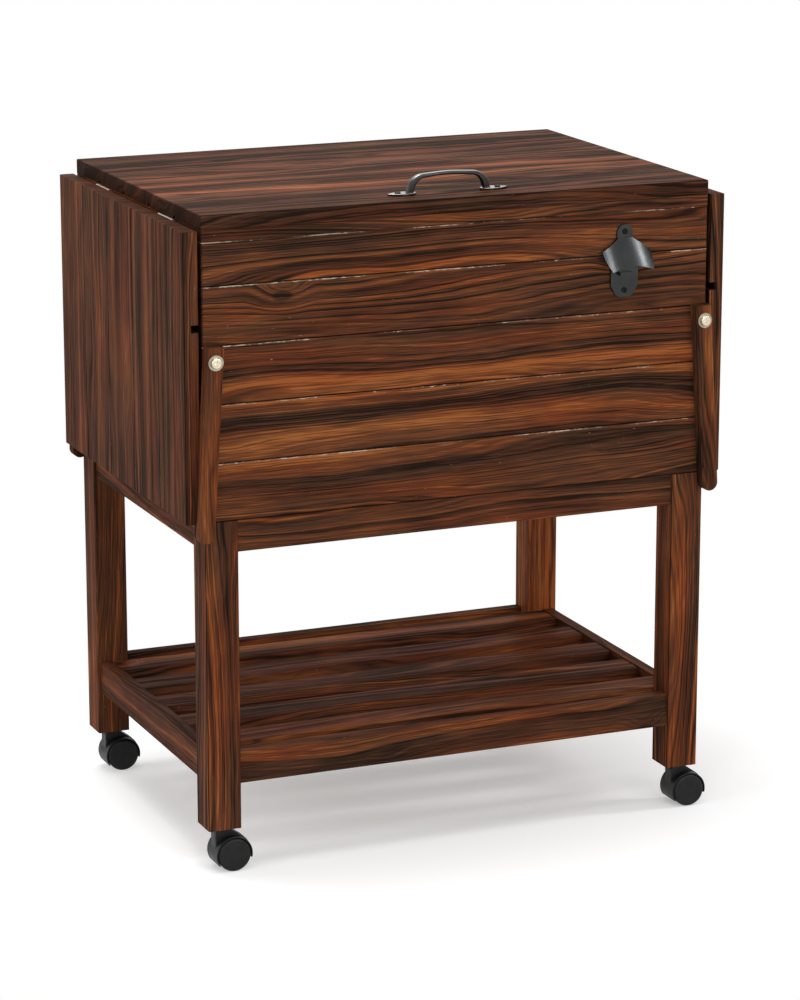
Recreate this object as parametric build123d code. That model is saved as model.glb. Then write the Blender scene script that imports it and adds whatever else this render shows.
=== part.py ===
from build123d import *
import os
from math import acos, asin, atan2, cos, degrees, hypot, radians, sqrt

# Rolling wooden patio cooler with two drop leaves and a lower shelf, in millimetres.
# The origin is on the floor under the middle of the case. +X is right, +Y is back, +Z is up.

# Case
case_width = 632.0
case_depth = 440.0
board_thickness = 12.0
board_height = 67.75
board_count = 4
top_board_height = 50.5
board_bevel = 1.4
rim_height = 13.2
rim_width = 34.0
rim_bevel = 0.8

# Legs and the posts that rise from them inside the case
caster_height = 53.5
leg_length = 368.0
leg_side = 40.0
leg_rounding = 1.5
post_side = 28.0

# Rails that join the legs
rail_recess = 4.0
rail_thickness = 15.0
apron_height = 38.0
shelf_rail_height = 40.0
shelf_rail_bottom = 106.5
rail_bevel = 1.0

# Shelf
slat_count = 5
slat_width = 42.5
slat_edge_gap = 0.75
slat_thickness = 15.0
slat_bevel = 1.0
slat_top_drop = 1.0
cleat_side = 15.0

# Clearances: joinery, loose soft or sheet pieces, fasteners in wood, turning fits
fit_gap = 0.3
liner_gap = 0.5
hole_play = 0.1
turning_play = 0.05
overrun = 5.0

# Insulated tub
floor_thickness = 9.0
foam_floor = 20.0
liner_wall = 1.5
liner_corner = 25.0
liner_bottom_round = 14.0
liner_flange = 12.0

# Drain under the rear of the tub
drain_inset = 35.5
drain_tube_radius = 9.0
drain_bore_radius = 6.0
drain_flange_radius = 17.0
drain_flange_height = 2.0
strainer_bar = 2.4
drain_tube_below_floor = 27.0
drain_nut_radius = 16.0
drain_nut_height = 8.0
tap_radius = 13.0
tap_top_below_nut = 1.0
tap_height = 46.0
spigot_radius = 8.0
spigot_bore_radius = 5.0
spigot_length = 26.0
spigot_chamfer = 0.8
lever_hub_radius = 7.0
lever_hub_length = 5.0
lever_width = 8.0
lever_thickness = 3.0
lever_length = 42.0
lever_stem_radius = 3.0
lever_stem_length = 14.0

# Lid
lid_gap = 0.3
lid_thickness = 17.0
plank_count = 5
plank_bevel = 0.8
plank_groove = 4.5
batten_x = 180.0
batten_width = 40.0
batten_thickness = 12.0
lid_foam_thickness = 18.0
lid_foam_inset = 10.0
lid_foam_corner = 20.0
lid_skin_thickness = 1.5

# Lid hinges on the back
lid_hinge_x = 180.0
lid_hinge_length = 60.0
lid_hinge_knuckle_radius = 3.0
lid_hinge_pin_radius = 1.5
lid_hinge_plate = 1.5
lid_hinge_case_reach = 27.0
lid_hinge_lid_reach = 15.0

# Drop leaves
leaf_thickness = 17.0
leaf_offset = 5.0
leaf_axis_from_leaf = 2.5
leaf_top_over_axis = 2.0
leaf_bevel = 0.8
groove_distance = 107.8
groove_width = 9.0
groove_depth = 8.5
leaf_hinge_y = 111.0
leaf_hinge_length = 47.5
leaf_hinge_knuckle_radius = 2.2
leaf_hinge_pin_radius = 1.2
leaf_hinge_plate = 1.0
leaf_hinge_reach = 22.5

# Folding braces that hold the leaves up
pivot_inset = 9.5
pivot_drop = 144.5
arm_width = 20.0
arm_thickness = 15.0
arm_gap = 0.5
arm_top = 17.5
arm_length = 209.0
arm_bevel = 1.2
rod_radius = 2.2
rod_seat_drop = 1.0
rod_sunk = 11.0
washer_radius = 9.0
washer_thickness = 1.5
washer_gap = 0.3
bolt_head_radius = 6.0
bolt_head_height = 3.5
bolt_head_round = 1.2
bolt_radius = 3.0
bolt_depth = 35.0
recess_length = 6.5
recess_width = 1.3
recess_depth = 1.0

# Casters
wheel_radius = 20.0
wheel_width = 14.0
wheel_offset = 11.0
wheel_trail = 12.5
wheel_round = 3.0
wheel_cap = 1.6
axle_radius = 3.0
axle_end_gap = 1.0
hood_half_width = 17.0
web_half_width = 3.5
hood_inner_radius = 20.8
hood_wall = 1.5
hood_round = 0.6
hood_top = 50.5
hood_front_angle = -12.0
hood_rear_angle = 212.0
spine_half_width = 8.5
spine_proud = 1.0
spine_round = 1.5
spine_back = 8.0
spine_back_low = 26.0
spine_back_high = 43.5
spine_shoulder = 2.0
spine_crown_end = 10.0
spine_end_angle = 12.0
stem_radius = 5.0
stem_sunk = 9.5
stem_reach = 35.0
collar_radius = 7.0
collar_height = 1.2
socket_radius = 6.5
socket_length = 38.0
socket_flange_radius = 10.0
socket_flange_height = 1.5

# Lid handle
handle_y = -180.0
handle_leg_outer = 53.0
handle_leg_inner = 44.6
handle_shoulder_outer = 46.5
handle_shoulder_inner = 39.5
handle_shoulder_outer_height = 22.5
handle_shoulder_inner_height = 17.5
handle_height = 25.5
handle_bar = 3.8
handle_depth = 7.6
handle_round = 1.7
handle_outer_bend = 20.0
handle_inner_bend = 14.0
handle_crown_bend = 220.0
foot_tip = 75.0
foot_lip = 40.0
foot_wide_place = 53.0
foot_width = 19.0
foot_side_place = 65.0
foot_side_width = 14.0
foot_lip_side_place = 45.4
foot_lip_side_width = 14.1
foot_thickness = 2.6
foot_round = 0.9
foot_screw_x = 62.5
screw_radius = 1.7
screw_head_radius = 3.4
screw_head_height = 1.3
screw_length = 13.0
screw_slot_width = 0.8
screw_slot_depth = 0.6

# Bottle opener on the front
opener_x = 206.6
opener_bottom = 643.1
opener_height = 85.7
opener_plate = 3.0
opener_tab_width = 20.0
opener_waist_height = 40.0
opener_tongue_width = 35.0
opener_tongue_height = 44.0
opener_tongue_taper_height = 14.0
opener_tip_width = 20.0
opener_tip_bend = 9.0
opener_screw_low = 8.0
opener_screw_high = 77.4
visor_thickness = 3.0
visor_heights = (70.0, 55.0, 44.3, 33.5)
visor_half_widths = (9.0, 31.0, 29.8, 26.0)
visor_reach_top = 5.0
visor_reach_bottom = 35.5
visor_bend = 52.0
visor_arch_height = 40.5
visor_arch_radius = 59.0
catch_width = 16.0
catch_height = 4.0
catch_reach = 9.0
catch_above_bottom = 26.0

# Places worked out from the sizes above
half_width = case_width / 2
half_depth = case_depth / 2
case_bottom = caster_height + leg_length
top_board_bottom = case_bottom + board_count * board_height
post_top = top_board_bottom + top_board_height
rim_top = post_top + rim_height
lid_bottom = rim_top + lid_gap
lid_top = lid_bottom + lid_thickness
wall_x = half_width - board_thickness
wall_y = half_depth - board_thickness
leg_x = half_width - leg_side / 2
leg_y = half_depth - leg_side / 2
rail_outer_x = half_width - rail_recess
rail_outer_y = half_depth - rail_recess
rail_inner_x = rail_outer_x - rail_thickness
rail_inner_y = rail_outer_y - rail_thickness
shelf_rail_top = shelf_rail_bottom + shelf_rail_height
slat_top = shelf_rail_top - slat_top_drop
slat_bottom = slat_top - slat_thickness
slat_run = 2 * (half_depth - leg_side - slat_edge_gap) - slat_width
slat_pitch = slat_run / (slat_count - 1)
floor_top = case_bottom + floor_thickness
liner_bottom = floor_top + foam_floor
liner_half_width = half_width - rim_width - liner_gap
liner_half_depth = half_depth - rim_width - liner_gap
tub_floor = liner_bottom + liner_wall
drain_y = liner_half_depth - drain_inset
plank_pitch = case_depth / plank_count
lid_skin_top = lid_bottom - lid_foam_thickness
leaf_inner = half_width + leaf_offset
leaf_outer = leaf_inner + leaf_thickness
leaf_axis_x = leaf_inner - leaf_axis_from_leaf
leaf_axis_z = rim_top + lid_gap - leaf_axis_from_leaf
leaf_top = leaf_axis_z + leaf_top_over_axis
pivot_x = half_width - pivot_inset
pivot_z = leaf_axis_z - pivot_drop
arm_near = half_depth + arm_gap
arm_far = arm_near + arm_thickness
lid_hinge_y = half_depth + lid_hinge_knuckle_radius + fit_gap

# With the leaf level, the rod lies in the groove: its distance from the pivot follows from that place
rod_seat_x = leaf_axis_x + groove_distance
rod_seat_z = leaf_axis_z + leaf_axis_from_leaf + rod_seat_drop - rod_radius
rod_swing = hypot(rod_seat_x - pivot_x, rod_seat_z - pivot_z)
rod_rest_angle = asin((leaf_axis_x - pivot_x) / rod_swing)
rod_rest_z = pivot_z - rod_swing * cos(rod_rest_angle)
rod_seat_angle = radians(180) - atan2(rod_seat_x - pivot_x, rod_seat_z - pivot_z)
print("brace swing in degrees", degrees(rod_seat_angle - rod_rest_angle))
print("brace turn for each turn of its leaf", (rod_seat_angle - rod_rest_angle) / radians(90))
print("rod radius from the pivot", rod_swing, "rod height at rest", rod_rest_z)


def block(along_x, along_y, along_z):
    """A box between two places along each axis."""
    places = [sorted(pair) for pair in (along_x, along_y, along_z)]
    sizes = [high - low for low, high in places]
    middle = [(low + high) / 2 for low, high in places]
    return Pos(*middle) * Box(*sizes)


def rod(start, end, radius):
    """A round bar between two points."""
    reach = Vector(*end) - Vector(*start)
    return extrude(Plane(origin=start, z_dir=reach) * Circle(radius), reach.length)


def outer_face(solid, axis, side):
    """The face of a box that looks along an axis, forwards or backwards."""
    return solid.faces().sort_by(axis)[-1 if side > 0 else 0]


def bevelled(solid, axis, side, bevel):
    """A box whose face on one side has its edges bevelled."""
    return chamfer(outer_face(solid, axis, side).edges(), bevel)


def at_corners(make):
    """One piece for each corner of the case."""
    return [make(x_side, y_side) for y_side in (-1, 1) for x_side in (-1, 1)]


def pivot_holes():
    """Bolt holes for the braces, from outside the case into the posts."""
    radius = bolt_radius + hole_play
    return at_corners(
        lambda x_side, y_side: rod(
            (x_side * pivot_x, y_side * (half_depth + overrun), pivot_z),
            (x_side * pivot_x, y_side * (half_depth - bolt_depth - fit_gap), pivot_z),
            radius,
        )
    )


def board_rows():
    """Bottom and top of each row of wall boards."""
    edges = [case_bottom + row * board_height for row in range(board_count + 1)]
    return list(zip(edges, edges[1:])) + [(top_board_bottom, post_top)]


def leg(x_side, y_side):
    """A square leg that narrows to the post inside the case, with a socket hole in its foot."""
    outer_x, outer_y = x_side * half_width, y_side * half_depth
    foot = block(
        (outer_x, outer_x - x_side * leg_side),
        (outer_y, outer_y - y_side * leg_side),
        (caster_height, case_bottom),
    )
    foot = fillet(foot.edges().filter_by(Axis.Z), leg_rounding)
    post = block(
        (x_side * wall_x, x_side * (wall_x - post_side)),
        (y_side * wall_y, y_side * (wall_y - post_side)),
        (case_bottom - overrun, post_top),
    )
    hole = rod(
        (x_side * leg_x, y_side * leg_y, caster_height - overrun),
        (x_side * leg_x, y_side * leg_y, caster_height + socket_length + fit_gap),
        socket_radius + hole_play,
    )
    return (foot + post) - hole - pivot_holes()


def opener_screw_holes():
    """Holes in the front boards for the opener's two screws."""
    return [
        rod(
            (opener_x, -half_depth - overrun, opener_bottom + height),
            (opener_x, -half_depth + screw_length, opener_bottom + height),
            screw_radius + hole_play,
        )
        for height in (opener_screw_low, opener_screw_high)
    ]


def long_boards(y_side):
    """Front or rear wall boards, full width over the side boards' ends."""
    outer = y_side * half_depth
    cuts = pivot_holes() + (opener_screw_holes() if y_side < 0 else [])
    boards = []
    for row in board_rows():
        board = block((-half_width, half_width), (outer, y_side * wall_y), row)
        boards.append(bevelled(board, Axis.Y, y_side, board_bevel) - cuts)
    return boards


def side_boards(x_side):
    """Wall boards of one side, between the front and rear boards."""
    outer = x_side * half_width
    boards = []
    for row in board_rows():
        board = block((outer, x_side * wall_x), (-wall_y, wall_y), row)
        edges = outer_face(board, Axis.X, x_side).edges().filter_by(Axis.Y)
        boards.append(chamfer(edges, board_bevel) - pivot_holes())
    return boards


def tub_form(inset, bottom, top):
    """A rounded tub-shaped solid, smaller than the liner's outside by an inset all round."""
    outline = RectangleRounded(
        2 * (liner_half_width - inset), 2 * (liner_half_depth - inset), liner_corner - inset
    )
    solid = extrude(Pos(0, 0, bottom) * outline, top - bottom)
    return fillet(solid.faces().sort_by(Axis.Z)[0].edges(), liner_bottom_round - inset)


def flange_form(growth, bottom, top):
    """The liner's flat flange as a plate, grown by a clearance."""
    reach = liner_flange + growth
    outline = RectangleRounded(
        2 * (liner_half_width + reach), 2 * (liner_half_depth + reach), liner_corner + reach
    )
    return extrude(Pos(0, 0, bottom) * outline, top - bottom)


def rim_boards(long_way):
    """The flat boards around the tub's mouth, rebated for the liner's flange."""
    rebate = flange_form(fit_gap, rim_top - liner_wall, rim_top + overrun)
    boards = []
    for side in (-1, 1):
        if long_way:
            board = block(
                (-half_width, half_width),
                (side * half_depth, side * (half_depth - rim_width)),
                (post_top, rim_top),
            )
            board = bevelled(board, Axis.Y, side, rim_bevel)
        else:
            inner_y = half_depth - rim_width
            board = block(
                (side * half_width, side * (half_width - rim_width)),
                (-inner_y, inner_y),
                (post_top, rim_top),
            )
            edges = outer_face(board, Axis.X, side).edges().filter_by(Axis.Y)
            board = chamfer(edges, rim_bevel)
        boards.append(board - rebate)
    return boards


def drain_hole(bottom, top):
    """Room for the drain's tube between two heights."""
    return rod((0, drain_y, bottom), (0, drain_y, top), drain_tube_radius + hole_play)


def post_room():
    """Room for the four posts, with a joinery gap."""
    reach = post_side + fit_gap
    return at_corners(
        lambda x_side, y_side: block(
            (x_side * (wall_x + overrun), x_side * (wall_x - reach)),
            (y_side * (wall_y + overrun), y_side * (wall_y - reach)),
            (case_bottom - overrun, rim_top + overrun),
        )
    )


def floor_panel():
    """The panel that carries the tub, notched around the posts."""
    panel = block((-wall_x, wall_x), (-wall_y, wall_y), (case_bottom, floor_top))
    return panel - post_room() - drain_hole(case_bottom - overrun, floor_top + overrun)


def insulation_shell():
    """Rigid foam between the walls and the liner, one block with the tub's hollow in it."""
    shell = block((-wall_x, wall_x), (-wall_y, wall_y), (floor_top, post_top))
    hollow = tub_form(-liner_gap, liner_bottom, post_top + overrun)
    return shell - hollow - post_room() - drain_hole(floor_top - overrun, liner_bottom + overrun)


def liner_tub():
    """The thin one-piece tub with a flat flange round its mouth."""
    outside = tub_form(0, liner_bottom, rim_top) + flange_form(0, rim_top - liner_wall, rim_top)
    inside = tub_form(liner_wall, tub_floor, rim_top + overrun)
    return outside - inside - drain_hole(liner_bottom - overrun, tub_floor + overrun)


tube_bottom = case_bottom - drain_tube_below_floor
nut_bottom = case_bottom - drain_nut_height
tap_top = nut_bottom - tap_top_below_nut
tap_bottom = tap_top - tap_height
spigot_bottom = tap_bottom - spigot_length
lever_z = (tube_bottom + tap_bottom) / 2


def drain_fitting():
    """Flanged tube through the tub's floor, with a cross of bars that keeps ice out of it."""
    tube = rod((0, drain_y, tube_bottom), (0, drain_y, tub_floor), drain_tube_radius)
    flange = rod((0, drain_y, tub_floor), (0, drain_y, tub_floor + drain_flange_height), drain_flange_radius)
    bore = rod((0, drain_y, tube_bottom - overrun), (0, drain_y, tub_floor + overrun), drain_bore_radius)
    top = (tub_floor, tub_floor + drain_flange_height)
    half_bar = strainer_bar / 2
    long_way = (-drain_tube_radius, drain_tube_radius)
    bars = block(long_way, (drain_y - half_bar, drain_y + half_bar), top)
    bars += block((-half_bar, half_bar), (drain_y - drain_tube_radius, drain_y + drain_tube_radius), top)
    return tube + flange - bore + bars


def drain_nut():
    """Hexagonal nut that clamps the fitting from below."""
    outline = RegularPolygon(drain_nut_radius, 6)
    nut = extrude(Pos(0, drain_y, nut_bottom) * outline, drain_nut_height)
    return nut - drain_hole(nut_bottom - overrun, case_bottom + overrun)


def drain_tap():
    """Tap body on the tube's end, with a plain spigot for a hose that points down."""
    body = rod((0, drain_y, tap_bottom), (0, drain_y, tap_top), tap_radius)
    spigot = rod((0, drain_y, spigot_bottom), (0, drain_y, tap_bottom), spigot_radius)
    spigot = chamfer(spigot.edges().sort_by(Axis.Z)[0], spigot_chamfer)
    bore = rod((0, drain_y, spigot_bottom - overrun), (0, drain_y, tube_bottom), spigot_bore_radius)
    socket = drain_hole(tube_bottom, tap_top + overrun)
    stem_hole = rod(
        (0, drain_y + tap_radius - lever_stem_length / 2, lever_z),
        (0, drain_y + tap_radius + overrun, lever_z),
        lever_stem_radius + turning_play,
    )
    return body + spigot - bore - socket - stem_hole


def drain_lever():
    """Quarter-turn lever behind the tap, level when the tap is shut."""
    near = drain_y + tap_radius + fit_gap
    hub = rod((0, near, lever_z), (0, near + lever_hub_length, lever_z), lever_hub_radius)
    handle = block(
        (0, lever_length),
        (near + lever_hub_length - lever_thickness, near + lever_hub_length),
        (lever_z - lever_width / 2, lever_z + lever_width / 2),
    )
    stem_end = drain_y + tap_radius - lever_stem_length / 2 + fit_gap
    stem = rod((0, stem_end, lever_z), (0, near, lever_z), lever_stem_radius)
    return fillet(handle.edges().filter_by(Axis.Y), lever_thickness / 2) + hub + stem


def rails(bottom, top, long_way):
    """A pair of rails between the legs, set back from their outer faces."""
    pieces = []
    for side in (-1, 1):
        if long_way:
            end = half_width - leg_side
            place = block((-end, end), (side * rail_outer_y, side * rail_inner_y), (bottom, top))
            edges = outer_face(place, Axis.Y, side).edges().filter_by(Axis.X)
        else:
            end = half_depth - leg_side
            place = block((side * rail_outer_x, side * rail_inner_x), (-end, end), (bottom, top))
            edges = outer_face(place, Axis.X, side).edges().filter_by(Axis.Y)
        pieces.append(chamfer(edges, rail_bevel))
    return pieces


def shelf_slats():
    """Slats across the shelf with gaps between them."""
    end = rail_inner_x - fit_gap
    slats = []
    for number in range(slat_count):
        middle = (number - (slat_count - 1) / 2) * slat_pitch
        across = (middle - slat_width / 2, middle + slat_width / 2)
        slat = block((-end, end), across, (slat_bottom, slat_top))
        slats.append(bevelled(slat, Axis.Z, 1, slat_bevel))
    return slats


def shelf_cleats():
    """Strips on the side rails that carry the slats' ends."""
    end = half_depth - leg_side
    return [
        block(
            (side * rail_inner_x, side * (rail_inner_x - cleat_side)),
            (-end, end),
            (slat_bottom - cleat_side, slat_bottom),
        )
        for side in (-1, 1)
    ]


def handle_screw_holes():
    """Holes in the front plank for the handle's screws."""
    return [
        rod(
            (side * foot_screw_x, handle_y, lid_top + overrun),
            (side * foot_screw_x, handle_y, lid_top + foot_thickness - screw_length - fit_gap),
            screw_radius + hole_play,
        )
        for side in (-1, 1)
    ]


def lid_boards():
    """Lid planks side by side, flush above and with V-grooves at the joints below."""
    planks = []
    for number in range(plank_count):
        low = -half_depth + number * plank_pitch
        plank = block((-half_width, half_width), (low, low + plank_pitch), (lid_bottom, lid_top))
        plank = bevelled(plank, Axis.Z, 1, plank_bevel)
        sides = outer_face(plank, Axis.Z, -1).edges().filter_by(Axis.X).sort_by(Axis.Y)
        joints = [edge for edge in sides if abs(edge.center().Y) < half_depth - plank_bevel]
        planks.append(chamfer(joints, plank_groove) - handle_screw_holes())
    return planks


lid_foam_half_width = liner_half_width - liner_wall - lid_foam_inset
lid_foam_half_depth = liner_half_depth - liner_wall - lid_foam_inset
batten_end = lid_foam_half_depth - lid_foam_corner


def lid_battens():
    """Two battens across the planks' undersides."""
    return [
        block(
            (side * batten_x - batten_width / 2, side * batten_x + batten_width / 2),
            (-batten_end, batten_end),
            (lid_bottom - batten_thickness, lid_bottom),
        )
        for side in (-1, 1)
    ]


def lid_plate(bottom, top):
    """A slab with rounded corners that fits the tub's mouth with room to spare."""
    outline = RectangleRounded(2 * lid_foam_half_width, 2 * lid_foam_half_depth, lid_foam_corner)
    return extrude(Pos(0, 0, bottom) * outline, top - bottom)


def lid_insulation():
    """Foam slab under the lid, with channels for the battens."""
    channels = [
        block(
            (side * batten_x - batten_width / 2 - fit_gap, side * batten_x + batten_width / 2 + fit_gap),
            (-batten_end - fit_gap, batten_end + fit_gap),
            (lid_bottom - batten_thickness - fit_gap, lid_bottom + overrun),
        )
        for side in (-1, 1)
    ]
    return lid_plate(lid_skin_top, lid_bottom) - channels


def hinge_leaf(length, knuckle_radius, pin_radius, plate, reach, knuckles):
    """One leaf of a three-knuckle hinge about the X axis.

    The plate lies between two distances along Y and reaches up or down along Z.
    """
    up = 1 if reach > 0 else -1
    third = length / 3
    start = up * (knuckle_radius + fit_gap)
    leaf = block((-length / 2, length / 2), plate, (start, reach))
    for number in knuckles:
        low = -length / 2 + number * third + (fit_gap / 2 if number else 0)
        high = -length / 2 + (number + 1) * third - (fit_gap / 2 if number < 2 else 0)
        leaf += rod((low, 0, 0), (high, 0, 0), knuckle_radius)
        leaf += block((low, high), plate, (0, start))
    bore = rod((-length, 0, 0), (length, 0, 0), pin_radius + turning_play)
    return leaf - bore


def lid_hinge_leaves(reach, knuckles):
    """The lid hinges' leaves on the case or on the lid."""
    near = half_depth - lid_hinge_y
    leaf = hinge_leaf(
        lid_hinge_length,
        lid_hinge_knuckle_radius,
        lid_hinge_pin_radius,
        (near, near + lid_hinge_plate),
        reach,
        knuckles,
    )
    return [Pos(side * lid_hinge_x, lid_hinge_y, lid_bottom) * leaf for side in (-1, 1)]


def table_hinge_leaves(x_side, plate, knuckles):
    """Two hinge leaves of one side: Y in the leaf's own frame points out of the case."""
    leaf = hinge_leaf(
        leaf_hinge_length,
        leaf_hinge_knuckle_radius,
        leaf_hinge_pin_radius,
        plate,
        -leaf_hinge_reach,
        knuckles,
    )
    return [
        Pos(x_side * leaf_axis_x, y_side * leaf_hinge_y, leaf_axis_z) * Rot(0, 0, -x_side * 90) * leaf
        for y_side in (-1, 1)
    ]


def table_hinge_case_leaves():
    """Hinge leaves on the case's side walls, with the two end knuckles."""
    near = half_width - leaf_axis_x
    plate = (near, near + leaf_hinge_plate)
    return table_hinge_leaves(-1, plate, (0, 2)) + table_hinge_leaves(1, plate, (0, 2))


def table_hinge_leaf_leaves(x_side):
    """Hinge leaves on one drop leaf, with the middle knuckle."""
    plate = (leaf_axis_from_leaf - leaf_hinge_plate, leaf_axis_from_leaf)
    return table_hinge_leaves(x_side, plate, (1,))


def hinge_pins():
    """Pins of all six hinges."""
    pins = []
    for side in (-1, 1):
        end = lid_hinge_length / 2
        pins.append(
            rod(
                (side * lid_hinge_x - end, lid_hinge_y, lid_bottom),
                (side * lid_hinge_x + end, lid_hinge_y, lid_bottom),
                lid_hinge_pin_radius,
            )
        )
        for y_side in (-1, 1):
            middle = y_side * leaf_hinge_y
            end_y = leaf_hinge_length / 2
            pins.append(
                rod(
                    (side * leaf_axis_x, middle - end_y, leaf_axis_z),
                    (side * leaf_axis_x, middle + end_y, leaf_axis_z),
                    leaf_hinge_pin_radius,
                )
            )
    return pins


def leaf_boards(x_side):
    """Boards of one drop leaf as it hangs, with the rod's groove across the inner face."""
    groove_middle = leaf_axis_z - groove_distance
    groove = block(
        (x_side * (leaf_inner - overrun), x_side * (leaf_inner + groove_depth)),
        (-half_depth - overrun, half_depth + overrun),
        (groove_middle - groove_width / 2, groove_middle + groove_width / 2),
    )
    boards = []
    for number in range(plank_count):
        low = -half_depth + number * plank_pitch
        through = (x_side * leaf_inner, x_side * leaf_outer)
        board = block(through, (low, low + plank_pitch), (case_bottom, leaf_top))
        boards.append(bevelled(board, Axis.X, x_side, leaf_bevel) - groove)
    return boards


def brace_rod(x_side, growth=0):
    """The straight support rod between a pair of arms, or room for it when grown."""
    x = x_side * leaf_axis_x
    end = arm_near + rod_sunk + growth
    return rod((x, -end, rod_rest_z), (x, end, rod_rest_z), rod_radius + growth)


def brace_arm(x_side, y_side):
    """A wooden arm that hangs from its bolt, leaning out so that its rod lies between case and leaf."""
    near, far = y_side * arm_near, y_side * arm_far
    tip = arm_width / 2 - arm_length
    bar = block((-arm_width / 2, arm_width / 2), (near, far), (tip, arm_top))
    arm = bar + rod((0, near, tip), (0, far, tip), arm_width / 2)
    arm = chamfer(outer_face(arm, Axis.Y, y_side).edges(), arm_bevel)
    hole = rod((0, near - y_side * overrun, 0), (0, far + y_side * overrun, 0), bolt_radius + hole_play)
    lean = Rot(0, -x_side * degrees(rod_rest_angle), 0)
    return Pos(x_side * pivot_x, 0, pivot_z) * lean * (arm - hole) - brace_rod(x_side, hole_play)


washer_near = arm_far + washer_gap
washer_far = washer_near + washer_thickness


def pivot_bolt(x_side, y_side):
    """Bolt with a low round head and a cross recess."""
    shank = rod(
        (x_side * pivot_x, y_side * (half_depth - bolt_depth), pivot_z),
        (x_side * pivot_x, y_side * washer_far, pivot_z),
        bolt_radius,
    )
    head_end = washer_far + bolt_head_height
    head = rod(
        (x_side * pivot_x, y_side * washer_far, pivot_z),
        (x_side * pivot_x, y_side * head_end, pivot_z),
        bolt_head_radius,
    )
    head = fillet(outer_face(head, Axis.Y, y_side).edges(), bolt_head_round)
    for half_x, half_z in ((recess_length / 2, recess_width / 2), (recess_width / 2, recess_length / 2)):
        head -= block(
            (x_side * pivot_x - half_x, x_side * pivot_x + half_x),
            (y_side * (head_end - recess_depth), y_side * (head_end + overrun)),
            (pivot_z - half_z, pivot_z + half_z),
        )
    return shank + head


def pivot_washer(x_side, y_side):
    """Flat washer under a bolt's head."""
    disc = rod(
        (x_side * pivot_x, y_side * washer_near, pivot_z),
        (x_side * pivot_x, y_side * washer_far, pivot_z),
        washer_radius,
    )
    hole = rod(
        (x_side * pivot_x, y_side * arm_near, pivot_z),
        (x_side * pivot_x, y_side * (washer_far + overrun), pivot_z),
        bolt_radius + hole_play,
    )
    return disc - hole


def caster_socket(x_side, y_side):
    """Flanged steel sleeve in a leg's foot."""
    x, y = x_side * leg_x, y_side * leg_y
    sleeve = rod((x, y, caster_height - overrun / 2), (x, y, caster_height + socket_length), socket_radius)
    sleeve &= block(
        (x - leg_side, x + leg_side),
        (y - leg_side, y + leg_side),
        (caster_height - socket_flange_height, caster_height + socket_length + overrun),
    )
    flange = rod((x, y, caster_height - socket_flange_height), (x, y, caster_height), socket_flange_radius)
    bore = rod(
        (x, y, caster_height - overrun),
        (x, y, caster_height + socket_length - socket_flange_height),
        stem_radius + turning_play,
    )
    return sleeve + flange - bore


def caster_hood():
    """Hood round the twin wheels, with a spine for the stem and a web for the axle; the stem is on Z."""
    shell_radius = hood_inner_radius + hood_wall
    spine_radius = shell_radius + spine_proud
    centre = Vector(wheel_trail, wheel_radius)
    crown = Vector(spine_crown_end, hood_top)
    gap = crown - centre
    tangent_angle = degrees(atan2(gap.Y, gap.X)) - degrees(acos(spine_radius / gap.length))

    def on_rim(radius, angle):
        return centre + Vector(radius, 0).rotate(Axis.Z, angle)

    front_end = on_rim(shell_radius, hood_front_angle)
    rear_end = on_rim(shell_radius, hood_rear_angle)
    top = on_rim(shell_radius, (hood_front_angle + hood_rear_angle) / 2)
    shell_profile = Wire([ThreePointArc(front_end, top, rear_end), Line(rear_end, front_end)])
    shell = extrude(Plane.XZ * Face(shell_profile), hood_half_width, both=True)
    shell = fillet(shell.edges().filter_by(GeomType.CIRCLE), hood_round)

    shoulder_low = Vector(-spine_back, spine_back_high)
    shoulder_high = Vector(-spine_shoulder, hood_top)
    corner = Vector(-spine_back, hood_top)
    shoulder_middle = corner + (shoulder_low + shoulder_high - corner - corner) * (1 - sqrt(1 / 2))
    spine_profile = Wire(
        [
            Line((-spine_back, spine_back_low), shoulder_low),
            ThreePointArc(shoulder_low, shoulder_middle, shoulder_high),
            Line(shoulder_high, crown),
            Line(crown, on_rim(spine_radius, tangent_angle)),
            ThreePointArc(
                on_rim(spine_radius, tangent_angle),
                on_rim(spine_radius, (tangent_angle + spine_end_angle) / 2),
                on_rim(spine_radius, spine_end_angle),
            ),
            Line(on_rim(spine_radius, spine_end_angle), (-spine_back, spine_back_low)),
        ]
    )
    spine = extrude(Plane.XZ * Face(spine_profile), spine_half_width, both=True)
    spine = fillet(spine.faces().filter_by(Axis.Y).edges(), spine_round)
    hood = shell + spine
    for side in (-1, 1):
        hood -= rod(
            (wheel_trail, side * web_half_width, wheel_radius),
            (wheel_trail, side * (hood_half_width + overrun), wheel_radius),
            hood_inner_radius,
        )
    axle_hole = rod(
        (wheel_trail, -hood_half_width, wheel_radius),
        (wheel_trail, hood_half_width, wheel_radius),
        axle_radius + turning_play,
    )
    stem_hole = rod((0, 0, hood_top - stem_sunk), (0, 0, hood_top + overrun), stem_radius + turning_play)
    return hood - axle_hole - stem_hole


def caster_pins():
    """The upright stem with its collar, and the axle."""
    collar_bottom = hood_top
    stem = rod((0, 0, hood_top - stem_sunk), (0, 0, caster_height + stem_reach), stem_radius)
    collar = rod((0, 0, collar_bottom), (0, 0, collar_bottom + collar_height), collar_radius)
    end = wheel_offset + wheel_width / 2 - wheel_cap - axle_end_gap
    axle = rod((wheel_trail, -end, wheel_radius), (wheel_trail, end, wheel_radius), axle_radius)
    return [stem + collar, axle]


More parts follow.
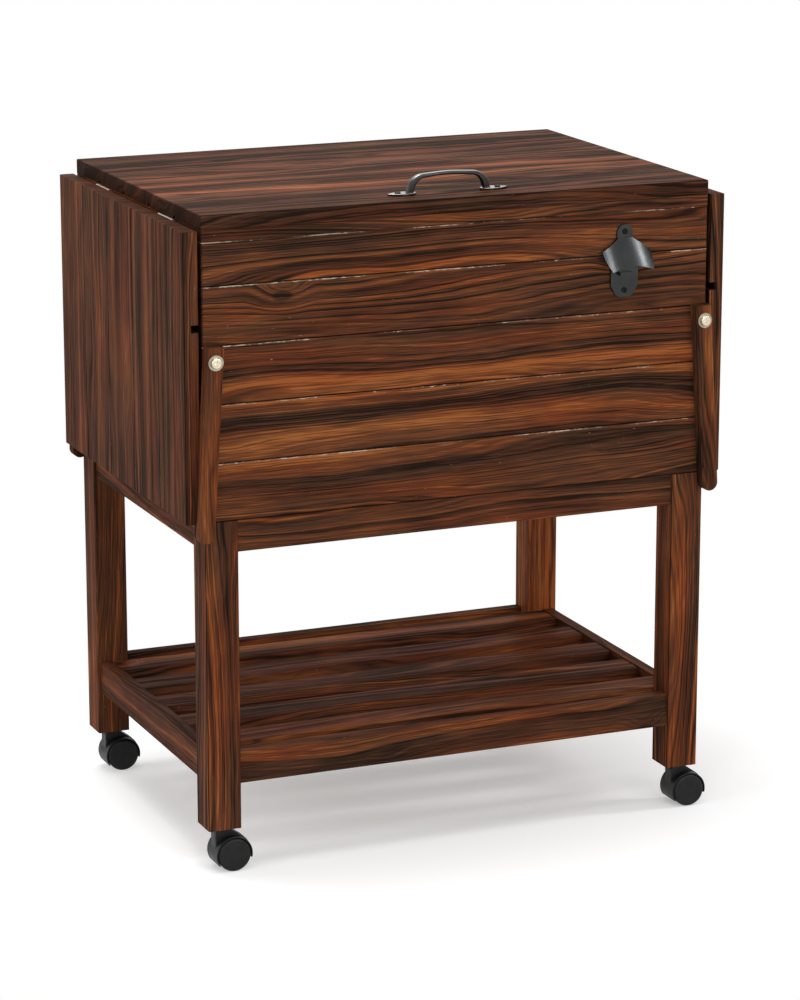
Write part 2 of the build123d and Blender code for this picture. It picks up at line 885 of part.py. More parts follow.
def caster_wheels():
    """Twin wheels with a rounded tread and a closed outer face."""
    wheels = []
    for side in (-1, 1):
        inner = side * (wheel_offset - wheel_width / 2)
        outer = side * (wheel_offset + wheel_width / 2)
        wheel = rod((wheel_trail, inner, wheel_radius), (wheel_trail, outer, wheel_radius), wheel_radius)
        wheel = fillet(wheel.edges().filter_by(GeomType.CIRCLE), wheel_round)
        bore = rod(
            (wheel_trail, inner - side * overrun, wheel_radius),
            (wheel_trail, outer - side * wheel_cap, wheel_radius),
            axle_radius + turning_play,
        )
        wheels.append(wheel - bore)
    return wheels


def screw(head_point, direction, slot_along):
    """A domed slotted screw whose head's underside is at a point."""
    place = Vector(*head_point)
    out = Vector(*direction)
    shank = rod(place, place - out * (screw_length - overrun / 2), screw_radius)
    head = rod(place, place + out * screw_head_height, screw_head_radius)
    rim = head.edges().filter_by(GeomType.CIRCLE).sort_by(lambda edge: (edge.arc_center - place).dot(out))[-1]
    head = fillet(rim, screw_head_height / 2)
    slot_place = Plane(origin=place + out * screw_head_height, z_dir=out, x_dir=slot_along)
    slot = slot_place * Box(3 * screw_head_radius, screw_slot_width, 2 * screw_slot_depth)
    return shank + (head - slot)


def arch_side(leg_x_place, shoulder_x, shoulder_height, top, bend):
    """One edge of the handle's arch, from foot to foot."""
    return FilletPolyline(
        (-leg_x_place, 0),
        (-shoulder_x, shoulder_height),
        (0, top),
        (shoulder_x, shoulder_height),
        (leg_x_place, 0),
        radius=[bend, handle_crown_bend, bend],
    )


def handle():
    """Cast pull: a tapering arch on two pointed feet."""
    outer = arch_side(
        handle_leg_outer,
        handle_shoulder_outer,
        handle_shoulder_outer_height,
        handle_height,
        handle_outer_bend,
    )
    inner = arch_side(
        handle_leg_inner,
        handle_shoulder_inner,
        handle_shoulder_inner_height,
        handle_height - handle_bar,
        handle_inner_bend,
    )
    ends = [
        Line((side * handle_leg_inner, 0), (side * handle_leg_outer, 0)) for side in (-1, 1)
    ]
    arch_face = Face(Wire(outer.edges() + inner.edges() + ends))
    arch = extrude(Plane.XZ * arch_face, handle_depth / 2, both=True)
    leg_ends = arch.faces().sort_by(Axis.Z)[:2].edges()
    arch = fillet(arch.faces().filter_by(Axis.Y).edges() - leg_ends, handle_round)
    whole = arch
    for side in (-1, 1):
        edges = []
        for half in (-1, 1):
            edges.append(
                ThreePointArc(
                    (side * foot_tip, 0),
                    (side * foot_side_place, half * foot_side_width / 2),
                    (side * foot_wide_place, half * foot_width / 2),
                )
            )
            edges.append(
                ThreePointArc(
                    (side * foot_wide_place, half * foot_width / 2),
                    (side * foot_lip_side_place, half * foot_lip_side_width / 2),
                    (side * foot_lip, 0),
                )
            )
        foot = extrude(Pos(0, 0, foot_thickness / 2) * Face(Wire(edges)), foot_thickness / 2, both=True)
        foot = fillet(foot.faces().sort_by(Axis.Z)[-1].edges(), foot_round)
        whole += foot - rod(
            (side * foot_screw_x, 0, -overrun), (side * foot_screw_x, 0, overrun), screw_radius + hole_play
        )
    return Pos(0, handle_y, lid_top) * whole


def handle_screws():
    """One screw in each foot of the handle."""
    return [
        screw((side * foot_screw_x, handle_y, lid_top + foot_thickness), (0, 0, 1), (1, 0, 0))
        for side in (-1, 1)
    ]


def opener_outline():
    """Flat plate of the opener: a round-topped tab over a tapering tongue, drawn from its lower end."""
    tab = opener_tab_width / 2
    tongue = opener_tongue_width / 2
    tip = opener_tip_width / 2
    tab_side = opener_height - tab
    waist = opener_tongue_height + opener_tongue_taper_height
    tab_part = Rectangle(2 * tab, tab_side - opener_waist_height)
    tab_part = Pos(0, (tab_side + opener_waist_height) / 2) * tab_part + Pos(0, tab_side) * Circle(tab)
    points = [
        (tab, waist),
        (tongue, opener_tongue_height),
        (tongue, opener_tongue_taper_height),
        (tip, 0),
        (-tip, 0),
        (-tongue, opener_tongue_taper_height),
        (-tongue, opener_tongue_height),
        (-tab, waist),
    ]
    tongue_part = make_face(Polyline(*points, close=True))
    low = tongue_part.vertices().group_by(Axis.Y)[0]
    return tab_part + fillet(low, opener_tip_bend)


def visor():
    """Hood of the opener: a bent sheet that leans out of the plate, cut to its outline from the front."""
    half = max(visor_half_widths) + visor_thickness
    side_drop = visor_bend - sqrt(visor_bend * visor_bend - half * half)
    sections = []
    ends = ((visor_heights[0], visor_reach_top), (visor_heights[-1], visor_reach_bottom))
    for height, reach in ends:
        back = visor_thickness - reach
        outer = ThreePointArc((-half, side_drop - reach), (0, -reach), (half, side_drop - reach))
        inner = ThreePointArc((-half, side_drop + back), (0, back), (half, side_drop + back))
        sides = [Line((x, side_drop - reach), (x, side_drop + back)) for x in (-half, half)]
        sections.append(Pos(0, 0, height) * Face(Wire([outer, inner] + sides)))
    hood = loft(sections, ruled=True)
    top, wide, middle, low = zip(visor_half_widths, visor_heights)
    outline = [Line((-low[0], low[1]), low), Line((-top[0], top[1]), top)]
    for side in (-1, 1):
        upper, bulge, lower = [(side * x, z) for x, z in (wide, middle, low)]
        outline += [Line((side * top[0], top[1]), upper), ThreePointArc(upper, bulge, lower)]
    keep = extrude(Plane.XZ * Face(Wire(outline)), 2 * visor_reach_bottom)
    arch_centre = visor_arch_height - visor_arch_radius
    arch = rod((0, overrun, arch_centre), (0, -2 * visor_reach_bottom, arch_centre), visor_arch_radius)
    return (hood & keep) - arch


def opener():
    """Wall bottle opener: plate, hood and the catch under it."""
    face_plane = Plane(origin=(0, 0, 0), x_dir=(1, 0, 0), z_dir=(0, -1, 0))
    plate = extrude(face_plane * opener_outline(), opener_plate)
    catch = block(
        (-catch_width / 2, catch_width / 2),
        (0, -catch_reach),
        (catch_above_bottom, catch_above_bottom + catch_height),
    )
    whole = plate + visor() + catch
    for height in (opener_screw_low, opener_screw_high):
        whole -= rod((0, overrun, height), (0, -opener_plate - overrun, height), screw_radius + hole_play)
    return Pos(opener_x, -half_depth, opener_bottom) * whole


def opener_screws():
    """The opener's two screws."""
    return [
        screw((opener_x, -half_depth - opener_plate, opener_bottom + height), (0, -1, 0), (0, 0, 1))
        for height in (opener_screw_low, opener_screw_high)
    ]


parts = {
    "leg_front_left": [leg(-1, -1)],
    "leg_front_right": [leg(1, -1)],
    "leg_rear_left": [leg(-1, 1)],
    "leg_rear_right": [leg(1, 1)],
    "long_aprons": rails(case_bottom - apron_height, case_bottom, True),
    "side_aprons": rails(case_bottom - apron_height, case_bottom, False),
    "front_boards": long_boards(-1),
    "rear_boards": long_boards(1),
    "left_side_boards": side_boards(-1),
    "right_side_boards": side_boards(1),
    "rim_long_boards": rim_boards(True),
    "rim_short_boards": rim_boards(False),
    "floor_panel": [floor_panel()],
    "insulation_shell": [insulation_shell()],
    "liner_tub": [liner_tub()],
    "drain_fitting": [drain_fitting()],
    "drain_nut": [drain_nut()],
    "drain_tap": [drain_tap()],
    "drain_lever": [drain_lever()],
    "shelf_long_rails": rails(shelf_rail_bottom, shelf_rail_top, True),
    "shelf_short_rails": rails(shelf_rail_bottom, shelf_rail_top, False),
    "shelf_slats": shelf_slats(),
    "shelf_cleats": shelf_cleats(),
    "lid_boards": lid_boards(),
    "lid_battens": lid_battens(),
    "lid_insulation": [lid_insulation()],
    "lid_inner_skin": [lid_plate(lid_skin_top - lid_skin_thickness, lid_skin_top)],
    "lid_hinge_case_leaves": lid_hinge_leaves(-lid_hinge_case_reach, (0, 2)),
    "lid_hinge_lid_leaves": lid_hinge_leaves(lid_hinge_lid_reach, (1,)),
    "table_hinge_case_leaves": table_hinge_case_leaves(),
    "table_hinge_left_leaves": table_hinge_leaf_leaves(-1),
    "table_hinge_right_leaves": table_hinge_leaf_leaves(1),
    "hinge_pins": hinge_pins(),
    "handle": [handle()],
    "handle_screws": handle_screws(),
    "opener": [opener()],
    "opener_screws": opener_screws(),
    "left_leaf_boards": leaf_boards(-1),
    "right_leaf_boards": leaf_boards(1),
    "left_brace_front_arm": [brace_arm(-1, -1)],
    "left_brace_rear_arm": [brace_arm(-1, 1)],
    "left_brace_rod": [brace_rod(-1)],
    "right_brace_front_arm": [brace_arm(1, -1)],
    "right_brace_rear_arm": [brace_arm(1, 1)],
    "right_brace_rod": [brace_rod(1)],
    "pivot_bolts": at_corners(pivot_bolt),
    "pivot_washers": at_corners(pivot_washer),
    "caster_sockets": at_corners(caster_socket),
}

caster_places = {
    "front_left": (-leg_x, -leg_y),
    "front_right": (leg_x, -leg_y),
    "rear_left": (-leg_x, leg_y),
    "rear_right": (leg_x, leg_y),
}
for corner_name, (corner_x, corner_y) in caster_places.items():
    move = Pos(corner_x, corner_y, 0)
    parts["caster_hood_" + corner_name] = [move * caster_hood()]
    parts["caster_pins_" + corner_name] = [move * piece for piece in caster_pins()]
    parts["caster_wheels_" + corner_name] = [move * piece for piece in caster_wheels()]

os.makedirs("parts", exist_ok=True)
for name, pieces in parts.items():
    solids = [solid for piece in pieces for solid in piece.solids()]
    export_step(Compound(solids), os.path.join("parts", name + ".step"))
print(len(parts), "nodes written")
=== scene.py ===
# %% [markdown]
# # A rolling patio cooler, dressed in Blender
#
# The cooler is a planked case of torched and oiled fir on four legs. It has a hinged lid over a
# metal tub, a drop leaf on each side, folding braces, a slatted shelf and four casters.
#
# The CAD model already holds every rigid piece at its real size. This lesson gives the pieces
# their finishes, adds the small fittings that a model of solids leaves out, and lights the
# result like a studio photograph. Lengths are written in millimetres and turned into metres,
# Blender's unit, at the last moment.

import math

import bmesh
import bpy
from mathutils import Matrix, Vector


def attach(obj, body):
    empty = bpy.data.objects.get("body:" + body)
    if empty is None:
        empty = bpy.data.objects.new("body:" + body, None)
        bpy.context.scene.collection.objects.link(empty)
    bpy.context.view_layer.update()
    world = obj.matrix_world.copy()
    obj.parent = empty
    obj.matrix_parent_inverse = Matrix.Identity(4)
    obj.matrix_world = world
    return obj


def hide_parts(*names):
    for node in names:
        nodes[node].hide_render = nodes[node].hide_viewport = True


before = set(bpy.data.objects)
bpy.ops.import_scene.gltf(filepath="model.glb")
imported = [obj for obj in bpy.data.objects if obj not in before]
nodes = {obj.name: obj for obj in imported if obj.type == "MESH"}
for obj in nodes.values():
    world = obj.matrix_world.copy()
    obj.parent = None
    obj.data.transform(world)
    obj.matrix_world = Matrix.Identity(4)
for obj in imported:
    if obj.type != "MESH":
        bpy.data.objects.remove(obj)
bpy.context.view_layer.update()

# %% [markdown]
# ## Units and places
#
# A maker thinks in millimetres, so one value turns them into metres. The places below are the
# real ones that the finishes and fittings need: where the case starts, how wide its boards are,
# how far out its faces stand, and at what height the rim boards and the lid lie.

# %% Named sizes of the cooler
MM = 0.001
HALF_WIDTH = 316.0
HALF_DEPTH = 220.0
CASE_BOTTOM = 421.5
BOARD_HEIGHT = 67.75
PLANK_WIDTH = 88.0
SLAT_PITCH = 79.0
RIM_UNDERSIDE = 743.0
LID_UNDERSIDE = 756.5
print("the case is", 2 * HALF_WIDTH, "by", 2 * HALF_DEPTH, "mm")

# %% [markdown]
# ## The photographer's place
#
# The camera stands left of the front and above the lid, more than four metres away, with a long
# lens, so that the uprights stay nearly upright. Yaw and pitch are the two angles that a tripod
# head is set to, and they are easier to reason about than a matrix.

# %% The camera
YAW, PITCH = math.radians(23.07), math.radians(14.31)

camera = bpy.data.objects.new("camera", bpy.data.cameras.new("camera"))
bpy.context.scene.collection.objects.link(camera)
bpy.context.scene.camera = camera
camera.location = (-1.6529, -3.9207, 1.4516)
camera.rotation_euler = (math.radians(90) - PITCH, 0, -YAW)
camera.data.lens = 129.5
camera.data.sensor_width = 36
bpy.context.scene.view_settings.view_transform = "Standard"
print("camera", [round(v, 3) for v in camera.location])

# %% [markdown]
# ## Colours and nodes
#
# A paint chart gives a colour as a hex number in sRGB, the way a screen shows it. Blender mixes
# light, so it needs the linear value, and one function does that for every colour here. A second
# small function adds a shader node: its settings are the node's own options, its inputs are
# numbers, colours or the sockets that feed it.

# %% Hex colours, and one function that adds a node
def colour(code):
    """A hex sRGB colour as the linear one that shaders mix."""
    parts = [int(code[place : place + 2], 16) / 255 for place in (0, 2, 4)]
    return [p / 12.92 if p <= 0.04045 else ((p + 0.055) / 1.055) ** 2.4 for p in parts] + [1.0]


def add(tree, kind, inputs=None, out=0, stops=None, **settings):
    """Adds one node and gives back one of its output sockets, or all when out is None."""
    made = tree.nodes.new("ShaderNode" + kind)
    for name, value in settings.items():
        setattr(made, name, value)
    for key, value in (inputs or {}).items():
        if isinstance(value, bpy.types.NodeSocket):
            tree.links.new(value, made.inputs[key])
        else:
            made.inputs[key].default_value = value
    if stops:
        # A new ramp has two stops already. They take the first two, and the rest are added.
        ramp = made.color_ramp.elements
        for number, (place, tint) in enumerate(stops):
            stop = ramp[number] if number < 2 else ramp.new(place)
            stop.position, stop.color = place, tint
    return made.outputs if out is None or not made.outputs else made.outputs[out]


def new_material(name):
    """An empty node material and its tree."""
    material = bpy.data.materials.new(name)
    material.use_nodes = True
    material.node_tree.nodes.clear()
    return material, material.node_tree


print("torched fir, mid brown, in linear light", [round(v, 3) for v in colour("5b3a2b")])

# %% [markdown]
# ## Torched fir
#
# The boards are fir. The maker runs a gas torch over them, which chars the soft early wood of
# each year's ring, brushes the char out along the grain, and wipes on a satin oil. So the eye
# meets dark, nearly black bands between orange ones, a fine brushed ridge along every ring, and
# a low sheen.
#
# A ring pattern could be painted as stripes, but real boards are slices through a trunk: the
# bands run nearly straight, wander, and close into long arches. The trick used here is to make
# one smooth field, the depth into the trunk in millimetres, and to read everything from it. Wide
# bands, thin rings and ridges then all follow the same lines, as they do in a real board.

# %% Two patterns in wood
def streaks(tree, trunk, size, detail, roughness=0.5):
    """Streaks along the grain, from their length and their width in mm."""
    long, wide = size
    steps = (1 / long, 1 / wide, 1 / wide)
    place = add(tree, "VectorMath", {0: trunk, 1: steps}, operation="MULTIPLY")
    sockets = {"Vector": place, "Scale": 1.0, "Detail": detail, "Roughness": roughness}
    return add(tree, "TexNoise", sockets)


def rings(tree, depth, band, detail):
    """Light and dark rings that follow the depth into the trunk, one band after another."""
    place = add(tree, "Math", {0: depth, 1: band}, operation="DIVIDE")
    sockets = {"W": place, "Scale": 1.0, "Detail": detail}
    return add(tree, "TexNoise", sockets, noise_dimensions="1D")


# Depths into the trunk in mm: a wide torched band, one year's ring, and the fine rings in it.
WIDE_BAND = 24.0
RING_BAND = 7.0
FINE_RING = 2.1
print("a wide band is", round(WIDE_BAND / RING_BAND, 1), "rings deep")

# %% [markdown]
# ### Each board from its own place
#
# Neighbouring boards come from different places in a trunk, or the grain would run on across the
# joints. So the shader counts the boards from the first one, and the row and the side of the case
# make a number for a random draw. The draw moves the board along the trunk and makes it a little
# lighter or darker than the next.

# %% Which board is this
# The front and the back, or the left and the right, fall in different spans of this length.
SIDE_SPAN = 4 * BOARD_HEIGHT
# A place past every board, for boards without an extra joint.
NO_JOINT = 9999.0


def board_at(tree, v, w, start, pitch, last_joint, seed):
    """The place counted in boards from the first one, and the board's own random draw."""
    from_start = add(tree, "Math", {0: v, 1: start}, operation="SUBTRACT")
    in_pitches = add(tree, "Math", {0: from_start, 1: pitch}, operation="DIVIDE")
    row = add(tree, "Math", {0: in_pitches}, operation="FLOOR")
    above = add(tree, "Math", {0: v, 1: last_joint}, operation="GREATER_THAN")
    row = add(tree, "Math", {0: row, 1: above}, operation="ADD")
    in_spans = add(tree, "Math", {0: w, 1: SIDE_SPAN}, operation="DIVIDE")
    side = add(tree, "Math", {0: in_spans}, operation="FLOOR")
    board = add(tree, "CombineXYZ", {0: row, 1: side, 2: seed})
    draw = add(tree, "TexWhiteNoise", {"Vector": board}, out=1, noise_dimensions="3D")
    return in_pitches, draw


print("rows of the case, up to the rim:", math.ceil((RIM_UNDERSIDE - CASE_BOTTOM) / BOARD_HEIGHT))

# %% [markdown]
# ### The depth into the trunk
#
# A trunk tapers and grows round its branches, so the rings in a board drift slowly, ripple a
# little, and bend round a knot. Two patterns of streaks, one long and one short, push the depth
# about. A knot is a point with rings round it, so its nearness pushes the depth as well, and its
# core comes out dark.

# %% The smooth field
DRIFT, GRAIN_WANDER = (560, 75), 90.0
RIPPLE, GRAIN_RIPPLE = (120, 30), 9.0
# Knots: how far apart, the core and its rim, and how far and how much the rings bend.
KNOT_SPACING = 190.0
KNOT_CORE, KNOT_RIM = 4.0, 8.0
KNOT_REACH, KNOT_BEND = 26.0, 15.0
SMOOTH = {"interpolation_type": "SMOOTHSTEP"}


def depth_at(tree, trunk, v, w):
    """The depth in mm, the ripple in it, and where the core of a knot is."""
    wander = streaks(tree, trunk, DRIFT, 1.0, 0.4)
    far = add(tree, "Math", {0: wander, 1: GRAIN_WANDER}, operation="MULTIPLY")
    ripple = streaks(tree, trunk, RIPPLE, 2.0)
    near = add(tree, "Math", {0: ripple, 1: GRAIN_RIPPLE, 2: far}, operation="MULTIPLY_ADD")
    lean = add(tree, "Math", {0: v, 1: 0.9, 2: near}, operation="MULTIPLY_ADD")
    depth = add(tree, "Math", {0: w, 1: 0.8, 2: lean}, operation="MULTIPLY_ADD")

    # A knot is longer along the grain than across it.
    knots = add(tree, "VectorMath", {0: trunk, 3: 1 / KNOT_SPACING}, operation="SCALE")
    centre = add(tree, "TexVoronoi", {"Vector": knots, "Scale": 1.0}, out=2, feature="F1")
    apart = add(tree, "VectorMath", {0: knots, 1: centre}, operation="SUBTRACT")
    knot_shape = (KNOT_SPACING / 1.9, KNOT_SPACING, KNOT_SPACING)
    apart = add(tree, "VectorMath", {0: apart, 1: knot_shape}, operation="MULTIPLY")
    reach = add(tree, "VectorMath", {0: apart}, out=1, operation="LENGTH")
    push = {0: reach, 1: KNOT_REACH, 2: KNOT_CORE, 3: 0.0, 4: KNOT_BEND}
    bend = add(tree, "MapRange", push, **SMOOTH)
    depth = add(tree, "Math", {0: depth, 1: bend}, operation="ADD")
    core = add(tree, "MapRange", {0: reach, 1: KNOT_RIM, 2: KNOT_CORE}, **SMOOTH)
    return depth, ripple, core


print("rings bend within", KNOT_REACH, "mm of a knot")

# %% [markdown]
# ### Char, rings and fibres
#
# Wide bands lead. They are strong in some stretches, where the torch passed twice, and nearly
# gone in others, and the hard late wood of some rings is left standing as thin dark lines. The
# same rings and fibres, added up with other weights, are the ridges that the brush left.

# %% How light the wood is
# Brushed fibres are finer than this on real fir, and are drawn as wide as they need to show.
FIBRE = (38, 1.2)
TORCH_PASS = (150, 42)


def burnt(tree, trunk, depth, ripple, tone):
    """How light the wood is, before the draw of its board, and the height of its ridges."""
    wide = rings(tree, depth, WIDE_BAND, 0.0)
    band = rings(tree, depth, RING_BAND, 1.0)
    fine = rings(tree, depth, FINE_RING, 0.0)
    fibre = streaks(tree, trunk, FIBRE, 1.0, 0.6)
    cloud = streaks(tree, trunk, TORCH_PASS, 2.0)

    torched = add(tree, "MapRange", {0: cloud, 1: 0.36, 2: 0.62, 3: 1.4, 4: 0.4})
    centred = add(tree, "Math", {0: band, 1: 0.5}, operation="SUBTRACT")
    light = add(tree, "Math", {0: centred, 1: torched, 2: tone}, operation="MULTIPLY_ADD")
    light = add(tree, "Math", {0: wide, 1: 0.8, 2: light}, operation="MULTIPLY_ADD")
    light = add(tree, "Math", {0: fine, 1: 0.55, 2: light}, operation="MULTIPLY_ADD")
    late = add(tree, "MapRange", {0: fine, 1: 0.43, 2: 0.33})
    lined = add(tree, "MapRange", {0: ripple, 1: 0.46, 2: 0.60, 4: 0.22})
    late = add(tree, "Math", {0: late, 1: lined}, operation="MULTIPLY")
    light = add(tree, "Math", {0: light, 1: late}, operation="SUBTRACT")
    light = add(tree, "Math", {0: fibre, 1: 0.8, 2: light}, operation="MULTIPLY_ADD")
    light = add(tree, "Math", {0: cloud, 1: 0.9, 2: light}, operation="MULTIPLY_ADD")

    ridge = add(tree, "Math", {0: fine, 1: 0.9, 2: band}, operation="MULTIPLY_ADD")
    ridge = add(tree, "Math", {0: fibre, 1: 0.5, 2: ridge}, operation="MULTIPLY_ADD")
    return light, ridge


print("a pass of the torch is", TORCH_PASS[0], "by", TORCH_PASS[1], "mm")

# %% [markdown]
# ### The oil
#
# Oil over char is nearly black, over scorched wood brown, and over hard clean wood orange. A
# ramp gives those, from dark to light, and iron in the sap reddens some stretches.

# %% The colours of oiled wood
RED_STREAK = (240, 26)


def oiled(tree, trunk, light):
    """The wood's colour, from how light it is."""
    wood = add(
        tree,
        "ValToRGB",
        {0: light},
        stops=[
            (0.02, colour("211812")),
            (1.0, colour("935a31")),
            (0.26, colour("38261c")),
            (0.46, colour("4b3022")),
            (0.66, colour("5f3824")),
            (0.84, colour("764426")),
        ],
    )
    red = streaks(tree, trunk, RED_STREAK, 1.0)
    red = add(tree, "MapRange", {0: red, 1: 0.42, 2: 0.62})
    reddened = {0: red, 6: wood, 7: colour("ffe8e2")}
    return add(tree, "Mix", reddened, out=2, data_type="RGBA", blend_type="MULTIPLY")


print("the palest oiled wood, in linear light", [round(v, 3) for v in colour("935a31")])

# %% [markdown]
# ### Edges
#
# The upper edge of each board gets a painted highlight, where its bevel faces up to the light:
# a faint pale line in some stretches, and short bright flecks in a few. The lower edge gets
# painted shade, near black, for the shadow in the groove below it.
# Both belong on a board's broad faces only, because the marks are drawn by their distance from
# the joint, and a board's narrow face lies in the joint.

# %% Painted highlights and painted shade at the edges
# Where each starts and where it is full, in mm from the joint.
HIGHLIGHT_FROM, HIGHLIGHT_FULL = 1.5, 0.8
SHADE_FROM, SHADE_FULL = 2.4, 1.2
FLECK = (7, 1.8)
HIGHLIGHT_STRETCH = (70, 60)


def upper_edge(tree, v, in_pitches, part_of_board, pitch, last_joint):
    """1 along the upper edge of each board, also below the extra joint, otherwise 0."""
    highlight_from, highlight_full = 1 - HIGHLIGHT_FROM / pitch, 1 - HIGHLIGHT_FULL / pitch
    edge = add(tree, "MapRange", {0: part_of_board, 1: highlight_from, 2: highlight_full})
    on_case = add(tree, "Math", {0: in_pitches, 1: 0.0}, operation="GREATER_THAN")
    edge = add(tree, "Math", {0: edge, 1: on_case}, operation="MULTIPLY")
    last = add(tree, "MapRange", {0: v, 1: last_joint - HIGHLIGHT_FROM, 2: last_joint - HIGHLIGHT_FULL})
    below = add(tree, "Math", {0: v, 1: last_joint}, operation="LESS_THAN")
    last = add(tree, "Math", {0: last, 1: below}, operation="MULTIPLY")
    return add(tree, "Math", {0: edge, 1: last}, operation="MAXIMUM")


def edged(tree, wood, trunk, edge, part_of_board, broadside, pitch, edge_highlight):
    """The wood with painted highlights on upper edges, painted shade on lower ones, and a few
    flecks.
    """
    fleck = streaks(tree, trunk, FLECK, 2.0)
    stretch = streaks(tree, trunk, HIGHLIGHT_STRETCH, 1.0)
    # Painted highlight: a pale line with bright flecks along each upper edge, in stretches.
    faint = add(tree, "MapRange", {0: stretch, 1: 0.42, 2: 0.62, 3: 0.0, 4: 0.24})
    fleck_level = add(tree, "Math", {0: stretch, 1: 0.9, 2: fleck}, operation="MULTIPLY_ADD")
    highlit = add(tree, "MapRange", {0: fleck_level, 1: 1.03, 2: 1.12, 4: 0.9})
    highlit = add(tree, "Math", {0: highlit, 1: faint}, operation="MAXIMUM")
    highlight_and_flecks = add(tree, "Math", {0: edge, 1: highlit}, operation="MULTIPLY")
    highlight_and_flecks = add(tree, "Math", {0: highlight_and_flecks, 1: edge_highlight}, operation="MULTIPLY")
    highlight_and_flecks = add(tree, "Math", {0: highlight_and_flecks, 1: broadside}, operation="MULTIPLY")
    sparse = add(tree, "MapRange", {0: fleck, 1: 0.75, 2: 0.82, 4: 0.35})
    highlight_and_flecks = add(tree, "Math", {0: highlight_and_flecks, 1: sparse}, operation="MAXIMUM")

    # Painted shade: the lower edge of each board darkens towards the joint, for the groove's
    # shadow.
    groove_shade_span = {0: part_of_board, 1: SHADE_FROM / pitch, 2: SHADE_FULL / pitch, 4: 0.9}
    groove_shade = add(tree, "MapRange", groove_shade_span)
    groove_shade = add(tree, "Math", {0: groove_shade, 1: broadside}, operation="MULTIPLY")
    shade_mix = {0: groove_shade, 6: wood, 7: colour("150e0b")}
    shaded = add(tree, "Mix", shade_mix, out=2, data_type="RGBA")
    highlight_mix = {0: highlight_and_flecks, 6: shaded, 7: colour("c9b49c")}
    return add(tree, "Mix", highlight_mix, out=2, data_type="RGBA")


print("a worn edge is", HIGHLIGHT_FROM, "mm wide, a charred one", SHADE_FROM, "mm")

# %% [markdown]
# ### The material
#
# One function puts these together, and takes what differs between the groups of boards: which
# way they run, where they start, how wide they are, and how light the cut is. End grain drinks
# more oil, so the ends are darker and show less. The oil has soaked in and the brushed skin is
# rough, so hardly any light glances off it.

# %% The torched fir material
# How far apart in the trunk two boards may lie, and how deep the brush has cut the rings, in mm.
TRUNK_LENGTH = 4000.0
BRUSHED_DEPTH = 0.5
# How much the skin shines. A smooth, closed surface would have 0.5.
SKIN_SHINE = 0.012


def torched_fir(
    name,
    along,
    across,
    through,
    start,
    pitch,
    tone=0.0,
    seed=0.0,
    edge_highlight=0.0,
    uneven=0.16,
    last_joint=NO_JOINT,
):
    """Fir boards that run along one axis and lie side by side along another, sizes in mm.

    The first board starts at start, and the next ones follow at each pitch. Tone makes the cut
    lighter or darker, seed picks other places in the trunk, edge_highlight brings out the painted
    highlight on the upper edges, uneven sets the boards apart, and last_joint is one more joint
    above the others.
    """
    material, tree = new_material(name)
    place = add(tree, "TexCoord", out=3)
    mm = add(tree, "VectorMath", {0: place, 3: 1 / MM}, operation="SCALE")
    axes = add(tree, "SeparateXYZ", {0: mm}, out=None)
    u, v, w = axes[along], axes[across], axes[through]
    in_pitches, draw = board_at(tree, v, w, start, pitch, last_joint, seed)
    shift = add(tree, "VectorMath", {0: draw, 3: TRUNK_LENGTH}, operation="SCALE")
    grain = add(tree, "CombineXYZ", {0: u, 1: v, 2: w})
    trunk = add(tree, "VectorMath", {0: grain, 1: shift}, operation="ADD")

    depth, ripple, core = depth_at(tree, trunk, v, w)
    light, ridge = burnt(tree, trunk, depth, ripple, tone)
    chance = add(tree, "SeparateXYZ", {0: draw}, out=None)[2]
    light = add(tree, "Math", {0: chance, 1: uneven, 2: light}, operation="MULTIPLY_ADD")
    light = add(tree, "Math", {0: core, 1: -0.35, 2: light}, operation="MULTIPLY_ADD")
    light = add(tree, "Math", {0: light, 1: 1.0 + uneven / 2}, operation="SUBTRACT")
    wood = oiled(tree, trunk, light)

    facing = add(tree, "SeparateXYZ", {0: add(tree, "TexCoord", out=1)}, out=None)
    edgewise = add(tree, "Math", {0: facing[across]}, operation="ABSOLUTE")
    broadside = add(tree, "MapRange", {0: edgewise, 1: 0.8, 2: 0.75})
    part_of_board = add(tree, "Math", {0: in_pitches}, operation="FRACT")
    edge = upper_edge(tree, v, in_pitches, part_of_board, pitch, last_joint)
    skin = edged(tree, wood, trunk, edge, part_of_board, broadside, pitch, edge_highlight)
    end = add(tree, "Math", {0: facing[along]}, operation="ABSOLUTE")
    end = add(tree, "MapRange", {0: end, 1: 0.6, 2: 0.8, 4: 0.7})
    skin = add(tree, "Mix", {0: end, 6: skin, 7: colour("2c1b13")}, out=2, data_type="RGBA")

    # Satin oil soaks unevenly: charred bands stay a little duller.
    dull = add(tree, "MapRange", {0: light, 1: 0.1, 2: 0.9, 3: 0.58, 4: 0.42})
    brushed = {"Height": ridge, "Distance": BRUSHED_DEPTH * MM, "Strength": 0.55}
    relief = add(tree, "Bump", brushed)
    sockets = {"Base Color": skin, "Roughness": dull, "Normal": relief}
    surface = add(tree, "BsdfPrincipled", {**sockets, "Specular IOR Level": SKIN_SHINE})
    add(tree, "OutputMaterial", {0: surface})
    return material


# %% The cuts of torched fir
X, Y, Z = 0, 1, 2
# A pattern starts just before its first board, so that no joint falls on that board's own edge.
BOARD_LEAD, LEG_LEAD = 0.3, 0.2
SLATS = 5
first_row = CASE_BOTTOM - BOARD_LEAD
first_plank = -HALF_DEPTH - BOARD_LEAD
first_slat = -SLATS / 2 * SLAT_PITCH
whole_leg = (-HALF_DEPTH - LEG_LEAD, 3 * PLANK_WIDTH)

